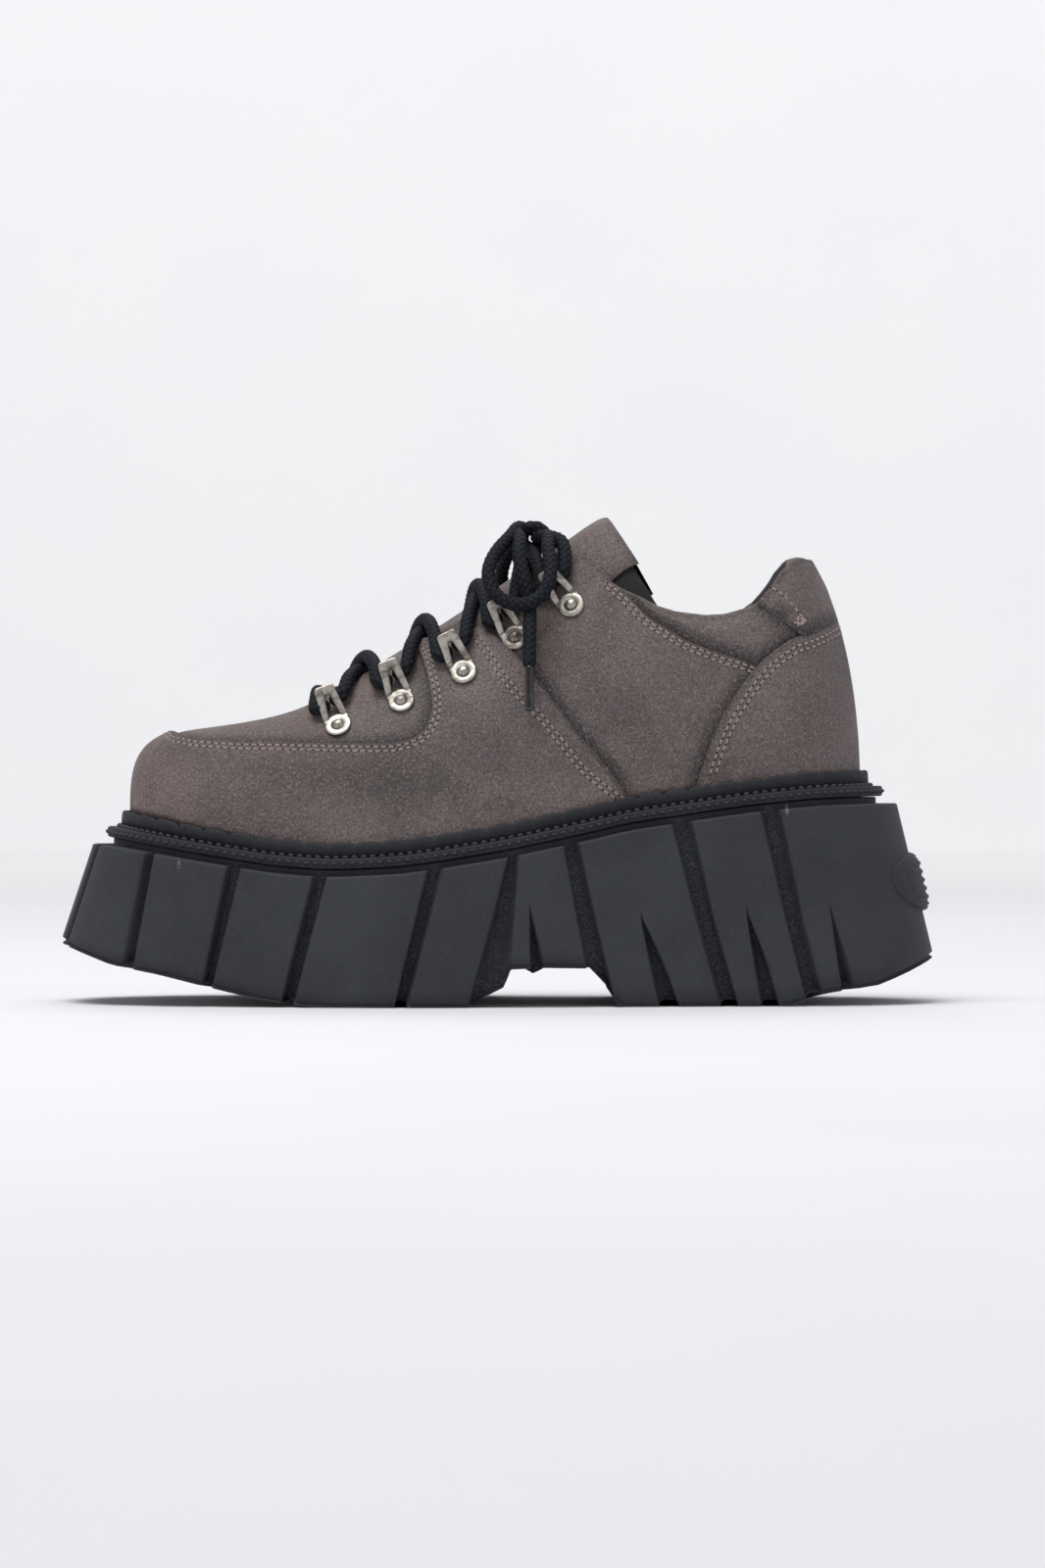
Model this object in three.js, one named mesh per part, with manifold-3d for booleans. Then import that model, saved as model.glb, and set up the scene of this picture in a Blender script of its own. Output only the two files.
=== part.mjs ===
// A left platform lace-up shoe, standing on a flat floor.
// Millimetres, +Z up. The toe points to -X, the outer side of the foot is -Y, the floor is z = 0.
import * as THREE from "three";
import { mergeVertices } from "three/addons/utils/BufferGeometryUtils.js";
import Module from "manifold-3d";

const wasm = await Module();
wasm.setup();

// Lengths along the shoe
const UPPER_LENGTH = 261.3;
const TOE_ROUND = 50;
const HEEL_ROUND = 33;

// Widths across the shoe
const BALL_WIDTH = 95;
const SPINE_TOE_SHIFT = 2.5;
const SPINE_HEEL_SHIFT = -0.5;

// Heights above the floor
const PLATFORM = 52.6;
const HEEL_RISE = 25.8;
const TOE_SPRING = 11.2;
const UPPER_HEIGHT = 122.7;

// Leather
const WALL = 2;
const OVERLAY = 1.2;
const GAP = 0.3;
const SKIRT = 12;

// Welt and rand
const WELT_THICKNESS = 4;
const WELT_SIDE = 3.7;
const WELT_END = 5.2;
const RAND_THICKNESS = 2.5;
const RAND_HEIGHT = 5.4;

// Insole and tongue
const INSOLE_THICKNESS = 3.5;
const TONGUE_THICKNESS = 3;
const TONGUE_CLEAR = 1;
const TONGUE_FRONT_WIDTH = 34;
const TONGUE_TOP_WIDTH = 44;
const TONGUE_LEAN = 0.56;
const TONGUE_SHOWN_FROM = 4;
const TONGUE_SHOWN_TO = 18;
const DROP_FROM = 4;
const THROAT_FRONT_WIDTH = 17;
const THROAT_TOP_WIDTH = 34;

// Outsole
const SHOULDER_DROP = 6.6;
const LUG_TOP_SIDE = 2.6;
const LUG_TOP_END = 5.6;
const FLARE_SIDE = 4.5;
const FLARE_TOE = 10.7;
const FLARE_HEEL = 12.6;
const GROOVE_DEPTH = 6;
const EDGE = 1.1;
const TOE_GROOVE_WIDTH = 3.8;
const TOE_GROOVE_APART = 38;
const PAD_WIDTH = 54;
const PAD_HEIGHT = 21;
const PAD_CENTRE = 43.5;
const PAD_PROUD = 3.2;

// Lace loops
const LOOP_BASE_RADIUS = 4.8;
const LOOP_PLATE = 1.1;
const LOOP_LENGTH = 14.7;
const LOOP_WIDTH = 8.6;
const LOOP_SLOT_WIDTH = 3.4;
const LOOP_SLOT_LENGTH = 8.4;
const LOOP_CLEAR = 0.6;
const LOOP_LIFT = 0.5;
const RIVET_RADIUS = 2.2;
const RIVET_HEIGHT = 1.5;

// Laces
const LACE = 4.6;
const LACE_CLEAR = 0.7;
const KNOT_RADIUS = 5.5;
const AGLET = 3.2;
const AGLET_LENGTH = 15;

// Half widths of the upper's foot line as shares of the ball width, at shares of the upper's length from the toe
const WIDTHS = [
  { at: 0, lateral: 0.4, medial: 0.445 },
  { at: 0.1, lateral: 0.41, medial: 0.46 },
  { at: 0.19, lateral: 0.43, medial: 0.475 },
  { at: 0.28, lateral: 0.48, medial: 0.492 },
  { at: 0.36, lateral: 0.508, medial: 0.477 },
  { at: 0.46, lateral: 0.498, medial: 0.43 },
  { at: 0.58, lateral: 0.45, medial: 0.372 },
  { at: 0.7, lateral: 0.395, medial: 0.345 },
  { at: 0.8, lateral: 0.366, medial: 0.342 },
  { at: 0.88, lateral: 0.356, medial: 0.346 },
  { at: 1, lateral: 0.35, medial: 0.34 },
];

// The foot line in side view: shares of the heel rise and of the toe spring
const SEAT = [
  { at: 0, rise: 0, spring: 1 },
  { at: 0.1, rise: 0, spring: 0.52 },
  { at: 0.155, rise: 0, spring: 0.295 },
  { at: 0.207, rise: 0, spring: 0.116 },
  { at: 0.285, rise: 0, spring: 0 },
  { at: 0.364, rise: 0.035, spring: 0 },
  { at: 0.416, rise: 0.1, spring: 0 },
  { at: 0.494, rise: 0.229, spring: 0 },
  { at: 0.573, rise: 0.39, spring: 0 },
  { at: 0.625, rise: 0.504, spring: 0 },
  { at: 0.677, rise: 0.624, spring: 0 },
  { at: 0.755, rise: 0.744, spring: 0 },
  { at: 0.833, rise: 0.857, spring: 0 },
  { at: 0.885, rise: 0.919, spring: 0 },
  { at: 0.937, rise: 0.973, spring: 0 },
  { at: 1, rise: 1, spring: 0 },
];

// The ridge over the instep, as shares of the upper's height above the platform,
// and the two exponents that shape each cross-section. Behind the tongue it is the
// unseen crown that the ankle walls lean towards.
const CREST = [
  { at: -0.01, up: 0.352, side: 6, roof: 4 },
  { at: 0.036, up: 0.363, side: 5.8, roof: 3.9 },
  { at: 0.06, up: 0.371, side: 5.6, roof: 3.7 },
  { at: 0.113, up: 0.382, side: 5, roof: 3.3 },
  { at: 0.167, up: 0.399, side: 4.2, roof: 2.9 },
  { at: 0.222, up: 0.43, side: 3.3, roof: 2.2 },
  { at: 0.276, up: 0.485, side: 2.7, roof: 1.82 },
  { at: 0.307, up: 0.527, side: 2.55, roof: 1.7 },
  { at: 0.366, up: 0.606, side: 2.3, roof: 1.53 },
  { at: 0.443, up: 0.71, side: 2.12, roof: 1.43 },
  { at: 0.52, up: 0.82, side: 2.05, roof: 1.42 },
  { at: 0.598, up: 0.932, side: 2.02, roof: 1.5 },
  { at: 0.647, up: 1, side: 2.05, roof: 1.75 },
  { at: 0.7, up: 1.04, side: 2.1, roof: 2.1 },
  { at: 0.77, up: 1.03, side: 2.2, roof: 2.35 },
  { at: 0.874, up: 0.972, side: 2.05, roof: 2.1 },
  { at: 1, up: 0.955, side: 2, roof: 2 },
];

// Underside of the sole, as shares of the platform, at shares of the sole's length from the toe:
// the tread is the face of the blocks, the floor is the core between them
const TREAD = [
  { at: 0, tread: 0.41, floor: 0.47 },
  { at: 0.02, tread: 0.37, floor: 0.42 },
  { at: 0.065, tread: 0.275, floor: 0.33 },
  { at: 0.119, tread: 0.215, floor: 0.265 },
  { at: 0.169, tread: 0.143, floor: 0.19 },
  { at: 0.231, tread: 0.055, floor: 0.1 },
  { at: 0.273, tread: 0.016, floor: 0.064 },
  { at: 0.31, tread: 0, floor: 0.048 },
  { at: 0.476, tread: 0, floor: 0.048 },
  { at: 0.511, tread: 0.255, floor: 0.15 },
  { at: 0.555, tread: 0.265, floor: 0.28 },
  { at: 0.602, tread: 0.26, floor: 0.275 },
  { at: 0.638, tread: 0, floor: 0.048 },
  { at: 0.828, tread: 0, floor: 0.048 },
  { at: 0.872, tread: 0.088, floor: 0.14 },
  { at: 0.932, tread: 0.14, floor: 0.19 },
  { at: 0.96, tread: 0.205, floor: 0.25 },
  { at: 1, tread: 0.31, floor: 0.36 },
];

// Side blocks: where the front and rear edges lie, as shares of the sole's length,
// high up, half way and at the floor
const BLOCK_HEIGHTS = [60, 30, 0];
const BLOCKS = [
  { name: "toe", front: [-0.2, -0.21, -0.2], rear: [0.1054, 0.0868, 0.0681] },
  { name: "second", front: [0.1155, 0.0984, 0.0812], rear: [0.2041, 0.1844, 0.1646] },
  { name: "third", front: [0.22, 0.1975, 0.1748], rear: [0.305, 0.2812, 0.2576] },
  { name: "fourth", front: [0.3204, 0.2959, 0.2715], rear: [0.4319, 0.4089, 0.386] },
  { name: "fifth", front: [0.4483, 0.424, 0.3999], rear: [0.5189, 0.4948, 0.4679] },
  { name: "arch", front: [0.5262, 0.5189, 0.5116], rear: [0.5737, 0.5913, 0.6088] },
  { name: "heel front", front: [0.5902, 0.611, 0.634], rear: [0.7009, 0.7251, 0.7514] },
  { name: "heel middle", front: [0.7229, 0.7437, 0.7711], rear: [0.804, 0.826, 0.8501] },
  { name: "heel back", front: [0.8249, 0.8446, 0.8698], rear: [1.2, 1.21, 1.2] },
];

// Pointed cuts that open downwards in the arch and heel blocks
const CLAWS = [
  { tip: 0.5364, height: 36.6, front: 0.543, rear: 0.5584 },
  { tip: 0.6604, height: 33.1, front: 0.6834, rear: 0.702 },
  { tip: 0.7799, height: 34.5, front: 0.7985, rear: 0.815 },
  { tip: 0.8742, height: 36.6, front: 0.8939, rear: 0.9049 },
];

// Side-view edges of the leather pieces: shares of the upper's length and height
const APRON_EDGE = [
  { at: 0.047, up: 0.378 },
  { at: 0.067, up: 0.346 },
  { at: 0.094, up: 0.335 },
  { at: 0.147, up: 0.328 },
  { at: 0.334, up: 0.325 },
  { at: 0.361, up: 0.326 },
  { at: 0.381, up: 0.335 },
  { at: 0.401, up: 0.358 },
  { at: 0.411, up: 0.397 },
  { at: 0.414, up: 0.44 },
  { at: 0.41, up: 0.497 },
  { at: 0.403, up: 0.554 },
  { at: 0.391, up: 0.625 },
];
const MUDGUARD_REAR_EDGE = [
  { at: 0.477, up: 0.666 },
  { at: 0.494, up: 0.618 },
  { at: 0.521, up: 0.533 },
  { at: 0.538, up: 0.487 },
  { at: 0.574, up: 0.411 },
  { at: 0.601, up: 0.34 },
  { at: 0.627, up: 0.272 },
  { at: 0.654, up: 0.224 },
  { at: 0.685, up: 0.176 },
];
const TOPLINE = [
  { at: 0.617, up: 0.909 },
  { at: 0.637, up: 0.857 },
  { at: 0.659, up: 0.809 },
  { at: 0.682, up: 0.782 },
  { at: 0.702, up: 0.762 },
  { at: 0.722, up: 0.738 },
  { at: 0.749, up: 0.719 },
  { at: 0.789, up: 0.708 },
  { at: 0.816, up: 0.712 },
  { at: 0.842, up: 0.729 },
  { at: 0.856, up: 0.749 },
  { at: 0.869, up: 0.78 },
  { at: 0.883, up: 0.817 },
  { at: 0.892, up: 0.846 },
  { at: 0.909, up: 0.88 },
  { at: 0.923, up: 0.889 },
];
const COUNTER_EDGE = [
  { at: 0.775, up: 0.213 },
  { at: 0.784, up: 0.27 },
  { at: 0.793, up: 0.327 },
  { at: 0.808, up: 0.398 },
  { at: 0.826, up: 0.463 },
  { at: 0.844, up: 0.517 },
  { at: 0.859, up: 0.554 },
  { at: 0.882, up: 0.597 },
  { at: 0.908, up: 0.634 },
  { at: 0.924, up: 0.645 },
  { at: 0.948, up: 0.668 },
  { at: 0.969, up: 0.694 },
];
const TAB_EDGE = [
  { at: 0.86, up: 0.755 },
  { at: 0.876, up: 0.749 },
  { at: 0.896, up: 0.712 },
  { at: 0.912, up: 0.669 },
  { at: 0.925, up: 0.646 },
];

// Rivets of the lace loops, the tips that the loops point to, and how many overlays lie beneath
const EYELETS = [
  { at: 0.287, up: 0.383, tipAt: 0.27, tipUp: 0.477, layers: 0 },
  { at: 0.373, up: 0.454, tipAt: 0.355, tipUp: 0.551, layers: 0 },
  { at: 0.458, up: 0.538, tipAt: 0.433, tipUp: 0.646, layers: 1 },
  { at: 0.528, up: 0.638, tipAt: 0.501, tipUp: 0.735, layers: 0 },
  { at: 0.605, up: 0.734, tipAt: 0.569, tipUp: 0.824, layers: 0 },
];

// The sole runs past the upper by the layers that stand outside one another at each end
const END_LAYERS = 2 * GAP + OVERLAY + RAND_THICKNESS + WELT_END + LUG_TOP_END;
const TOE_SETBACK = END_LAYERS + FLARE_TOE;
const HEEL_SETBACK = END_LAYERS + FLARE_HEEL;
const SOLE_LENGTH = TOE_SETBACK + UPPER_LENGTH + HEEL_SETBACK;
const UPPER_TOE = -SOLE_LENGTH / 2 + TOE_SETBACK;
const UPPER_HEEL = UPPER_TOE + UPPER_LENGTH;
const TOE_CENTRE = UPPER_TOE + TOE_ROUND;
const HEEL_CENTRE = UPPER_HEEL - HEEL_ROUND;
const THROAT_FRONT = 0.236;
const TONGUE_FRONT = 0.2;
const TONGUE_TOP = 0.647;

const upperX = (at) => UPPER_TOE + at * UPPER_LENGTH;
const upperAt = (x) => (x - UPPER_TOE) / UPPER_LENGTH;
const soleX = (at) => (at - 0.5) * SOLE_LENGTH;
const soleAt = (x) => x / SOLE_LENGTH + 0.5;
const upZ = (up) => PLATFORM + up * UPPER_HEIGHT;
const clamp = (v, low, high) => Math.min(high, Math.max(low, v));
const mix = (a, b, t) => a + (b - a) * t;
const smooth = (a, b, v) => {
  const t = clamp((v - a) / (b - a), 0, 1);
  return t * t * (3 - 2 * t);
};

// A column of a table, joined by a smooth curve that never overshoots its rows
function column(table, name) {
  const x = table.map((row) => row.at);
  const y = table.map((row) => row[name]);
  const slope = x.slice(1).map((v, i) => (y[i + 1] - y[i]) / (v - x[i]));
  const tangent = x.map((v, i) => {
    if (i === 0) return slope[0];
    if (i === x.length - 1) return slope[i - 1];
    if (slope[i - 1] * slope[i] <= 0) return 0;
    return (2 * slope[i - 1] * slope[i]) / (slope[i - 1] + slope[i]);
  });
  return (at) => {
    const v = clamp(at, x[0], x[x.length - 1]);
    let i = 0;
    while (i < x.length - 2 && v > x[i + 1]) i++;
    const h = x[i + 1] - x[i];
    const t = (v - x[i]) / h;
    const a = (1 + 2 * t) * (1 - t) ** 2;
    const b = t * (1 - t) ** 2;
    const c = t * t * (3 - 2 * t);
    const d = t * t * (t - 1);
    return a * y[i] + b * h * tangent[i] + c * y[i + 1] + d * h * tangent[i + 1];
  };
}

// A column joined by straight lines
function straight(table, name) {
  return (at) => {
    const v = clamp(at, table[0].at, table[table.length - 1].at);
    let i = 0;
    while (i < table.length - 2 && v > table[i + 1].at) i++;
    const t = (v - table[i].at) / (table[i + 1].at - table[i].at);
    return mix(table[i][name], table[i + 1][name], t);
  };
}

const lateralShare = column(WIDTHS, "lateral");
const medialShare = column(WIDTHS, "medial");
const riseShare = column(SEAT, "rise");
const springShare = column(SEAT, "spring");
const crestShare = column(CREST, "up");
const sideExponent = column(CREST, "side");
const roofExponent = column(CREST, "roof");
const treadShare = straight(TREAD, "tread");
const floorShare = straight(TREAD, "floor");

const seat = (x) => PLATFORM + HEEL_RISE * riseShare(upperAt(x)) + TOE_SPRING * springShare(upperAt(x));
const crest = (x) => upZ(crestShare(upperAt(x)));
const spineY = (x) => mix(SPINE_TOE_SHIFT, SPINE_HEEL_SHIFT, (x - TOE_CENTRE) / (HEEL_CENTRE - TOE_CENTRE));
const shoulder = (x) => seat(x) - SHOULDER_DROP;
const tread = (x) => PLATFORM * treadShare(soleAt(x));
const coreFloor = (x) => PLATFORM * floorShare(soleAt(x));

// Half width from the spine to the foot line at a place between the two round ends
function halfWidth(x, side) {
  const y = side < 0 ? -lateralShare(upperAt(x)) * BALL_WIDTH : medialShare(upperAt(x)) * BALL_WIDTH;
  return Math.abs(y - spineY(x));
}

const TOE_ROUNDNESS = 2.5;
const HEEL_ROUNDNESS = 2.1;

// The foot line of the upper, from the back of the heel around the outer side, the toe and the inner side.
// Each station has its place on the spine, its place on the line and the direction outwards.
function footLine(sideShares, heelSteps, toeSteps) {
  const raw = [];
  const place = (side, x, cap, centre) => {
    const y0 = spineY(clamp(x, TOE_CENTRE, HEEL_CENTRE));
    const reach = side < 0 ? -lateralShare(upperAt(x)) : medialShare(upperAt(x));
    const y = y0 + (reach * BALL_WIDTH - y0) * cap;
    raw.push({ c: [centre, spineY(centre)], b: [x, y] });
  };
  const heelAt = (side, angle) => {
    const x = HEEL_CENTRE + HEEL_ROUND * Math.cos(angle) ** (2 / HEEL_ROUNDNESS);
    place(side, x, Math.sin(angle) ** (2 / HEEL_ROUNDNESS), HEEL_CENTRE);
  };
  const toeAt = (side, angle) => {
    const x = TOE_CENTRE - TOE_ROUND * Math.sin(angle) ** (2 / TOE_ROUNDNESS);
    place(side, x, Math.max(0, Math.cos(angle)) ** (2 / TOE_ROUNDNESS), TOE_CENTRE);
  };
  const quarter = Math.PI / 2;
  for (let i = 0; i < heelSteps; i++) heelAt(-1, (quarter * i) / heelSteps);
  for (const t of sideShares) place(-1, mix(HEEL_CENTRE, TOE_CENTRE, t), 1, mix(HEEL_CENTRE, TOE_CENTRE, t));
  for (let i = 1; i <= toeSteps; i++) toeAt(-1, (quarter * i) / toeSteps);
  for (let i = toeSteps - 1; i >= 1; i--) toeAt(1, (quarter * i) / toeSteps);
  for (const t of [...sideShares].reverse())
    place(1, mix(HEEL_CENTRE, TOE_CENTRE, t), 1, mix(HEEL_CENTRE, TOE_CENTRE, t));
  for (let i = heelSteps - 1; i >= 1; i--) heelAt(1, (quarter * i) / heelSteps);
  return raw.map((point, i) => {
    const a = raw[(i + raw.length - 1) % raw.length].b;
    const b = raw[(i + 1) % raw.length].b;
    const length = Math.hypot(b[0] - a[0], b[1] - a[1]);
    return { ...point, n: [-(b[1] - a[1]) / length, (b[0] - a[0]) / length] };
  });
}

// Shares along the side: even steps with the given places put in between them
function sideSteps(count, marks = []) {
  const even = Array.from({ length: count + 1 }, (_, i) => i / count);
  const all = [...even];
  for (const x of marks) {
    const t = (HEEL_CENTRE - x) / (HEEL_CENTRE - TOE_CENTRE);
    if (t <= 0.004 || t >= 0.996) continue;
    const near = all.findIndex((v) => Math.abs(v - t) < 0.4 / count && v !== 0 && v !== 1);
    if (near >= 0) all[near] = t;
    else all.push(t);
  }
  return all.sort((a, b) => a - b);
}

// The stations meet the places where the underside turns, so that every ring shares them
const LINE = footLine(sideSteps(13, TREAD.map((row) => soleX(row.at))), 5, 7);

const toward = (station, offset) => [
  station.b[0] + station.n[0] * offset,
  station.b[1] + station.n[1] * offset,
];

// Offsets that grow from the sides to the toe and to the heel
function reach(station, side, toe, heel) {
  const nx = station.n[0];
  return nx < 0 ? mix(side, toe, nx * nx) : mix(side, heel, nx * nx);
}

const overlayOut = GAP + OVERLAY;
const randIn = () => overlayOut + GAP;
const randOut = () => randIn() + RAND_THICKNESS;
const weltOut = (s) => randOut() + reach(s, WELT_SIDE, WELT_END, WELT_END);
const lugTop = (s) => weltOut(s) + reach(s, LUG_TOP_SIDE, LUG_TOP_END, LUG_TOP_END);
const lugFoot = (s) => lugTop(s) + reach(s, FLARE_SIDE, FLARE_TOE, FLARE_HEEL);

// A closed triangle mesh from rows of points: the rows run round the shoe, the first and the last lie on the spine
function fromRows(rows) {
  const positions = [];
  const count = rows[0].length;
  for (let j = 0; j < rows.length - 1; j++)
    for (let i = 0; i < count; i++) {
      const a = rows[j][i];
      const b = rows[j][(i + 1) % count];
      const c = rows[j + 1][(i + 1) % count];
      const d = rows[j + 1][i];
      positions.push(...a, ...b, ...c, ...a, ...c, ...d);
    }
  const geometry = new THREE.BufferGeometry();
  geometry.setAttribute("position", new THREE.Float32BufferAttribute(positions, 3));
  return geometry;
}

// A manifold solid from a three.js geometry
function solid(source) {
  const plain = source.clone();
  plain.deleteAttribute("normal");
  plain.deleteAttribute("uv");
  const merged = mergeVertices(plain, 1e-4);
  const index = merged.index.array;
  const triangles = [];
  for (let i = 0; i < index.length; i += 3) {
    const [a, b, c] = [index[i], index[i + 1], index[i + 2]];
    if (a !== b && b !== c && c !== a) triangles.push(a, b, c);
  }
  const make = (list) =>
    new wasm.Manifold(
      new wasm.Mesh({
        numProp: 3,
        vertProperties: new Float32Array(merged.attributes.position.array),
        triVerts: new Uint32Array(list),
      }),
    );
  const made = make(triangles);
  if (made.volume() > 0) return made;
  for (let i = 0; i < triangles.length; i += 3)
    [triangles[i + 1], triangles[i + 2]] = [triangles[i + 2], triangles[i + 1]];
  return make(triangles);
}

function geometryOf(manifold) {
  const mesh = manifold.getMesh();
  const geometry = new THREE.BufferGeometry();
  const stride = mesh.numProp;
  const position = new Float32Array(mesh.numVert * 3);
  for (let i = 0; i < mesh.numVert; i++)
    for (let k = 0; k < 3; k++) position[3 * i + k] = mesh.vertProperties[stride * i + k];
  geometry.setAttribute("position", new THREE.BufferAttribute(position, 3));
  geometry.setIndex(new THREE.BufferAttribute(new Uint32Array(mesh.triVerts), 1));
  geometry.computeVertexNormals();
  return geometry;
}

const joined = (list) => list.slice(1).reduce((sum, next) => sum.add(next), list[0]);

// An outline without the corners that lie on the straight line between their neighbours
function corners(points) {
  return points.filter((b, i) => {
    const a = points[(i + points.length - 1) % points.length];
    const c = points[(i + 1) % points.length];
    return Math.abs((b[0] - a[0]) * (c[1] - b[1]) - (b[1] - a[1]) * (c[0] - b[0])) > 1e-3;
  });
}

// A side-view outline carried straight through the whole width of the shoe
function across(points, half = 120) {
  const shape = new THREE.Shape(corners(points).map(([x, z]) => new THREE.Vector2(x, z)));
  const geometry = new THREE.ExtrudeGeometry(shape, { depth: 2 * half, bevelEnabled: false });
  geometry.rotateX(Math.PI / 2);
  geometry.translate(0, half, 0);
  return solid(geometry);
}

// A plan outline carried straight up
function upright(points, low, high) {
  const shape = new THREE.Shape(points.map(([x, y]) => new THREE.Vector2(x, y)));
  const geometry = new THREE.ExtrudeGeometry(shape, { depth: high - low, bevelEnabled: false });
  geometry.translate(0, 0, low);
  return solid(geometry);
}

// The last's surface moved outwards by k, closed underneath at a drop below the foot line
function form(k, drop) {
  const rows = 9;
  const grid = [];
  const ringAt = (h, share) =>
    LINE.map((s) => {
      const at = upperAt(s.b[0]);
      const low = seat(s.b[0]);
      const edge = toward(s, k);
      const out = share ** (2 / sideExponent(at));
      const x = mix(s.c[0], edge[0], out);
      const y = mix(s.c[1], edge[1], out);
      const top = crest(clamp(x, UPPER_TOE, UPPER_HEEL)) + k;
      return [x, y, low + (top - low) * h ** (2 / roofExponent(at))];
    });
  grid.push(LINE.map((s) => [s.c[0], s.c[1], seat(s.c[0]) - drop]));
  grid.push(LINE.map((s) => [...toward(s, k), seat(s.b[0]) - drop]));
  for (let j = 0; j <= rows; j++) {
    const angle = (Math.PI / 2) * (j / rows);
    const share = j === rows ? 0 : Math.cos(angle);
    grid.push(ringAt(Math.sin(angle), share));
  }
  return solid(fromRows(grid));
}

// Height of the last's surface, moved outwards by k, between the two round ends
function surface(x, y, k) {
  const low = seat(x);
  const side = y < spineY(x) ? -1 : 1;
  const out = clamp(Math.abs(y - spineY(x)) / (halfWidth(x, side) + k), 0, 1);
  const at = upperAt(x);
  const share = (1 - out ** sideExponent(at)) ** (1 / roofExponent(at));
  return low + (crest(x) + k - low) * share;
}

// Distance from the spine at which the surface reaches a height
function surfaceY(x, z, side, k) {
  const at = upperAt(x);
  const low = seat(x);
  const h = clamp((z - low) / (crest(x) + k - low), 0, 1);
  const out = (1 - h ** roofExponent(at)) ** (1 / sideExponent(at));
  return spineY(x) + side * (halfWidth(x, side) + k) * out;
}

const curvePoints = (table) => table.map((row) => [upperX(row.at), upZ(row.up)]);
const SKY = upZ(2);
const PAST_HEEL = UPPER_HEEL + 40;

// The opening over the foot: behind the top line, and the slot of the throat in front of it
const topline = curvePoints(TOPLINE);
const collarCut = across([
  [topline[0][0] - 8, SKY],
  [topline[0][0] - 2, topline[0][1] + 9],
  ...topline,
  [PAST_HEEL, topline[topline.length - 1][1]],
  [PAST_HEEL, SKY],
]);
const throatHalf = (x) =>
  mix(THROAT_FRONT_WIDTH, THROAT_TOP_WIDTH, clamp((upperAt(x) - THROAT_FRONT) / (TONGUE_TOP - THROAT_FRONT), 0, 1)) / 2;

function throatOutline() {
  const front = upperX(THROAT_FRONT);
  const start = front + THROAT_FRONT_WIDTH / 2;
  const back = upperX(0.7);
  const points = [];
  for (let i = 0; i <= 6; i++) {
    const angle = (Math.PI * i) / 6;
    const wide = (throatHalf(start) * Math.cos(angle)) * -1;
    points.push([start - (start - front) * Math.sin(angle), spineY(start) + wide]);
  }
  points.push([back, spineY(back) + throatHalf(back)]);
  points.push([back, spineY(back) - throatHalf(back)]);
  return points;
}
const throatCut = upright(throatOutline(), PLATFORM + 20, SKY);
const opening = collarCut.add(throatCut);

const outer = form(0, 0);
const inner = form(-WALL, SKIRT);
const upper = outer.subtract(inner).subtract(opening);

const overlaySkin = form(overlayOut, 0).subtract(form(GAP, SKIRT));
const DEEP = PLATFORM - 20;
const apronEdge = curvePoints(APRON_EDGE);
const rearEdge = curvePoints(MUDGUARD_REAR_EDGE);
const mudguardRegion = across([
  [UPPER_TOE - 30, DEEP],
  [UPPER_TOE - 30, apronEdge[0][1] + 14],
  [apronEdge[0][0] - 2, apronEdge[0][1] + 14],
  ...apronEdge,
  [apronEdge[apronEdge.length - 1][0] - 3, apronEdge[apronEdge.length - 1][1] + 14],
  [rearEdge[0][0] - 8, rearEdge[0][1] + 22],
  ...rearEdge,
  [rearEdge[rearEdge.length - 1][0] + 4, DEEP],
]);
const mudguard = overlaySkin.intersect(mudguardRegion).subtract(opening);

const counterEdge = curvePoints(COUNTER_EDGE);
const counterRegion = across([
  [counterEdge[0][0] - 2, DEEP],
  ...counterEdge,
  [UPPER_HEEL + 20, counterEdge[counterEdge.length - 1][1] + 2],
  [UPPER_HEEL + 20, DEEP],
]);
const counter = overlaySkin.intersect(counterRegion);

const tabEdge = curvePoints(TAB_EDGE);
const tabRegion = across([
  ...tabEdge,
  ...counterEdge.slice(-2).map(([x, z]) => [x, z + GAP]),
  [UPPER_HEEL + 20, counterEdge[counterEdge.length - 1][1] + 2 + GAP],
  [UPPER_HEEL + 20, SKY],
  [tabEdge[0][0] - 2, SKY],
]);
const heelTab = overlaySkin.intersect(tabRegion).subtract(opening);

// Rings of the sole, each with an offset from the foot line and a height, closed on the spine above and below.
// A height follows the foot line at the ring's station, or the place itself where it is given as local.
function soleSolid(rings, topZ, bottomZ, inwards = 1) {
  const rows = [];
  const ringRow = (ring) =>
    LINE.map((s) => {
      const edge = toward(s, ring.offset(s));
      return [...edge, ring.local ? ring.local(edge[0]) : ring.height(s.b[0])];
    });
  const capRow = (share, ring, height) =>
    LINE.map((s) => {
      const edge = toward(s, ring.offset(s));
      const x = mix(s.c[0], edge[0], share);
      return [x, mix(s.c[1], edge[1], share), height(x)];
    });
  const last = rings[rings.length - 1];
  for (let i = 0; i < inwards; i++) rows.push(capRow(i / inwards, rings[0], topZ));
  for (const ring of rings) rows.push(ringRow(ring));
  for (let i = inwards - 1; i >= 0; i--) rows.push(capRow(i / inwards, last, bottomZ));
  return solid(fromRows(rows));
}

const weltTop = (x) => seat(x) - GAP;
const weltBottom = (x) => seat(x) - WELT_THICKNESS;
const soleTop = (x) => weltBottom(x) - GAP;
const onLine = () => 0;

const welt = soleSolid(
  [
    { offset: onLine, height: weltTop },
    { offset: weltOut, height: weltTop },
    { offset: weltOut, height: weltBottom },
    { offset: onLine, height: weltBottom },
  ],
  weltTop,
  weltBottom,
);

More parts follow.
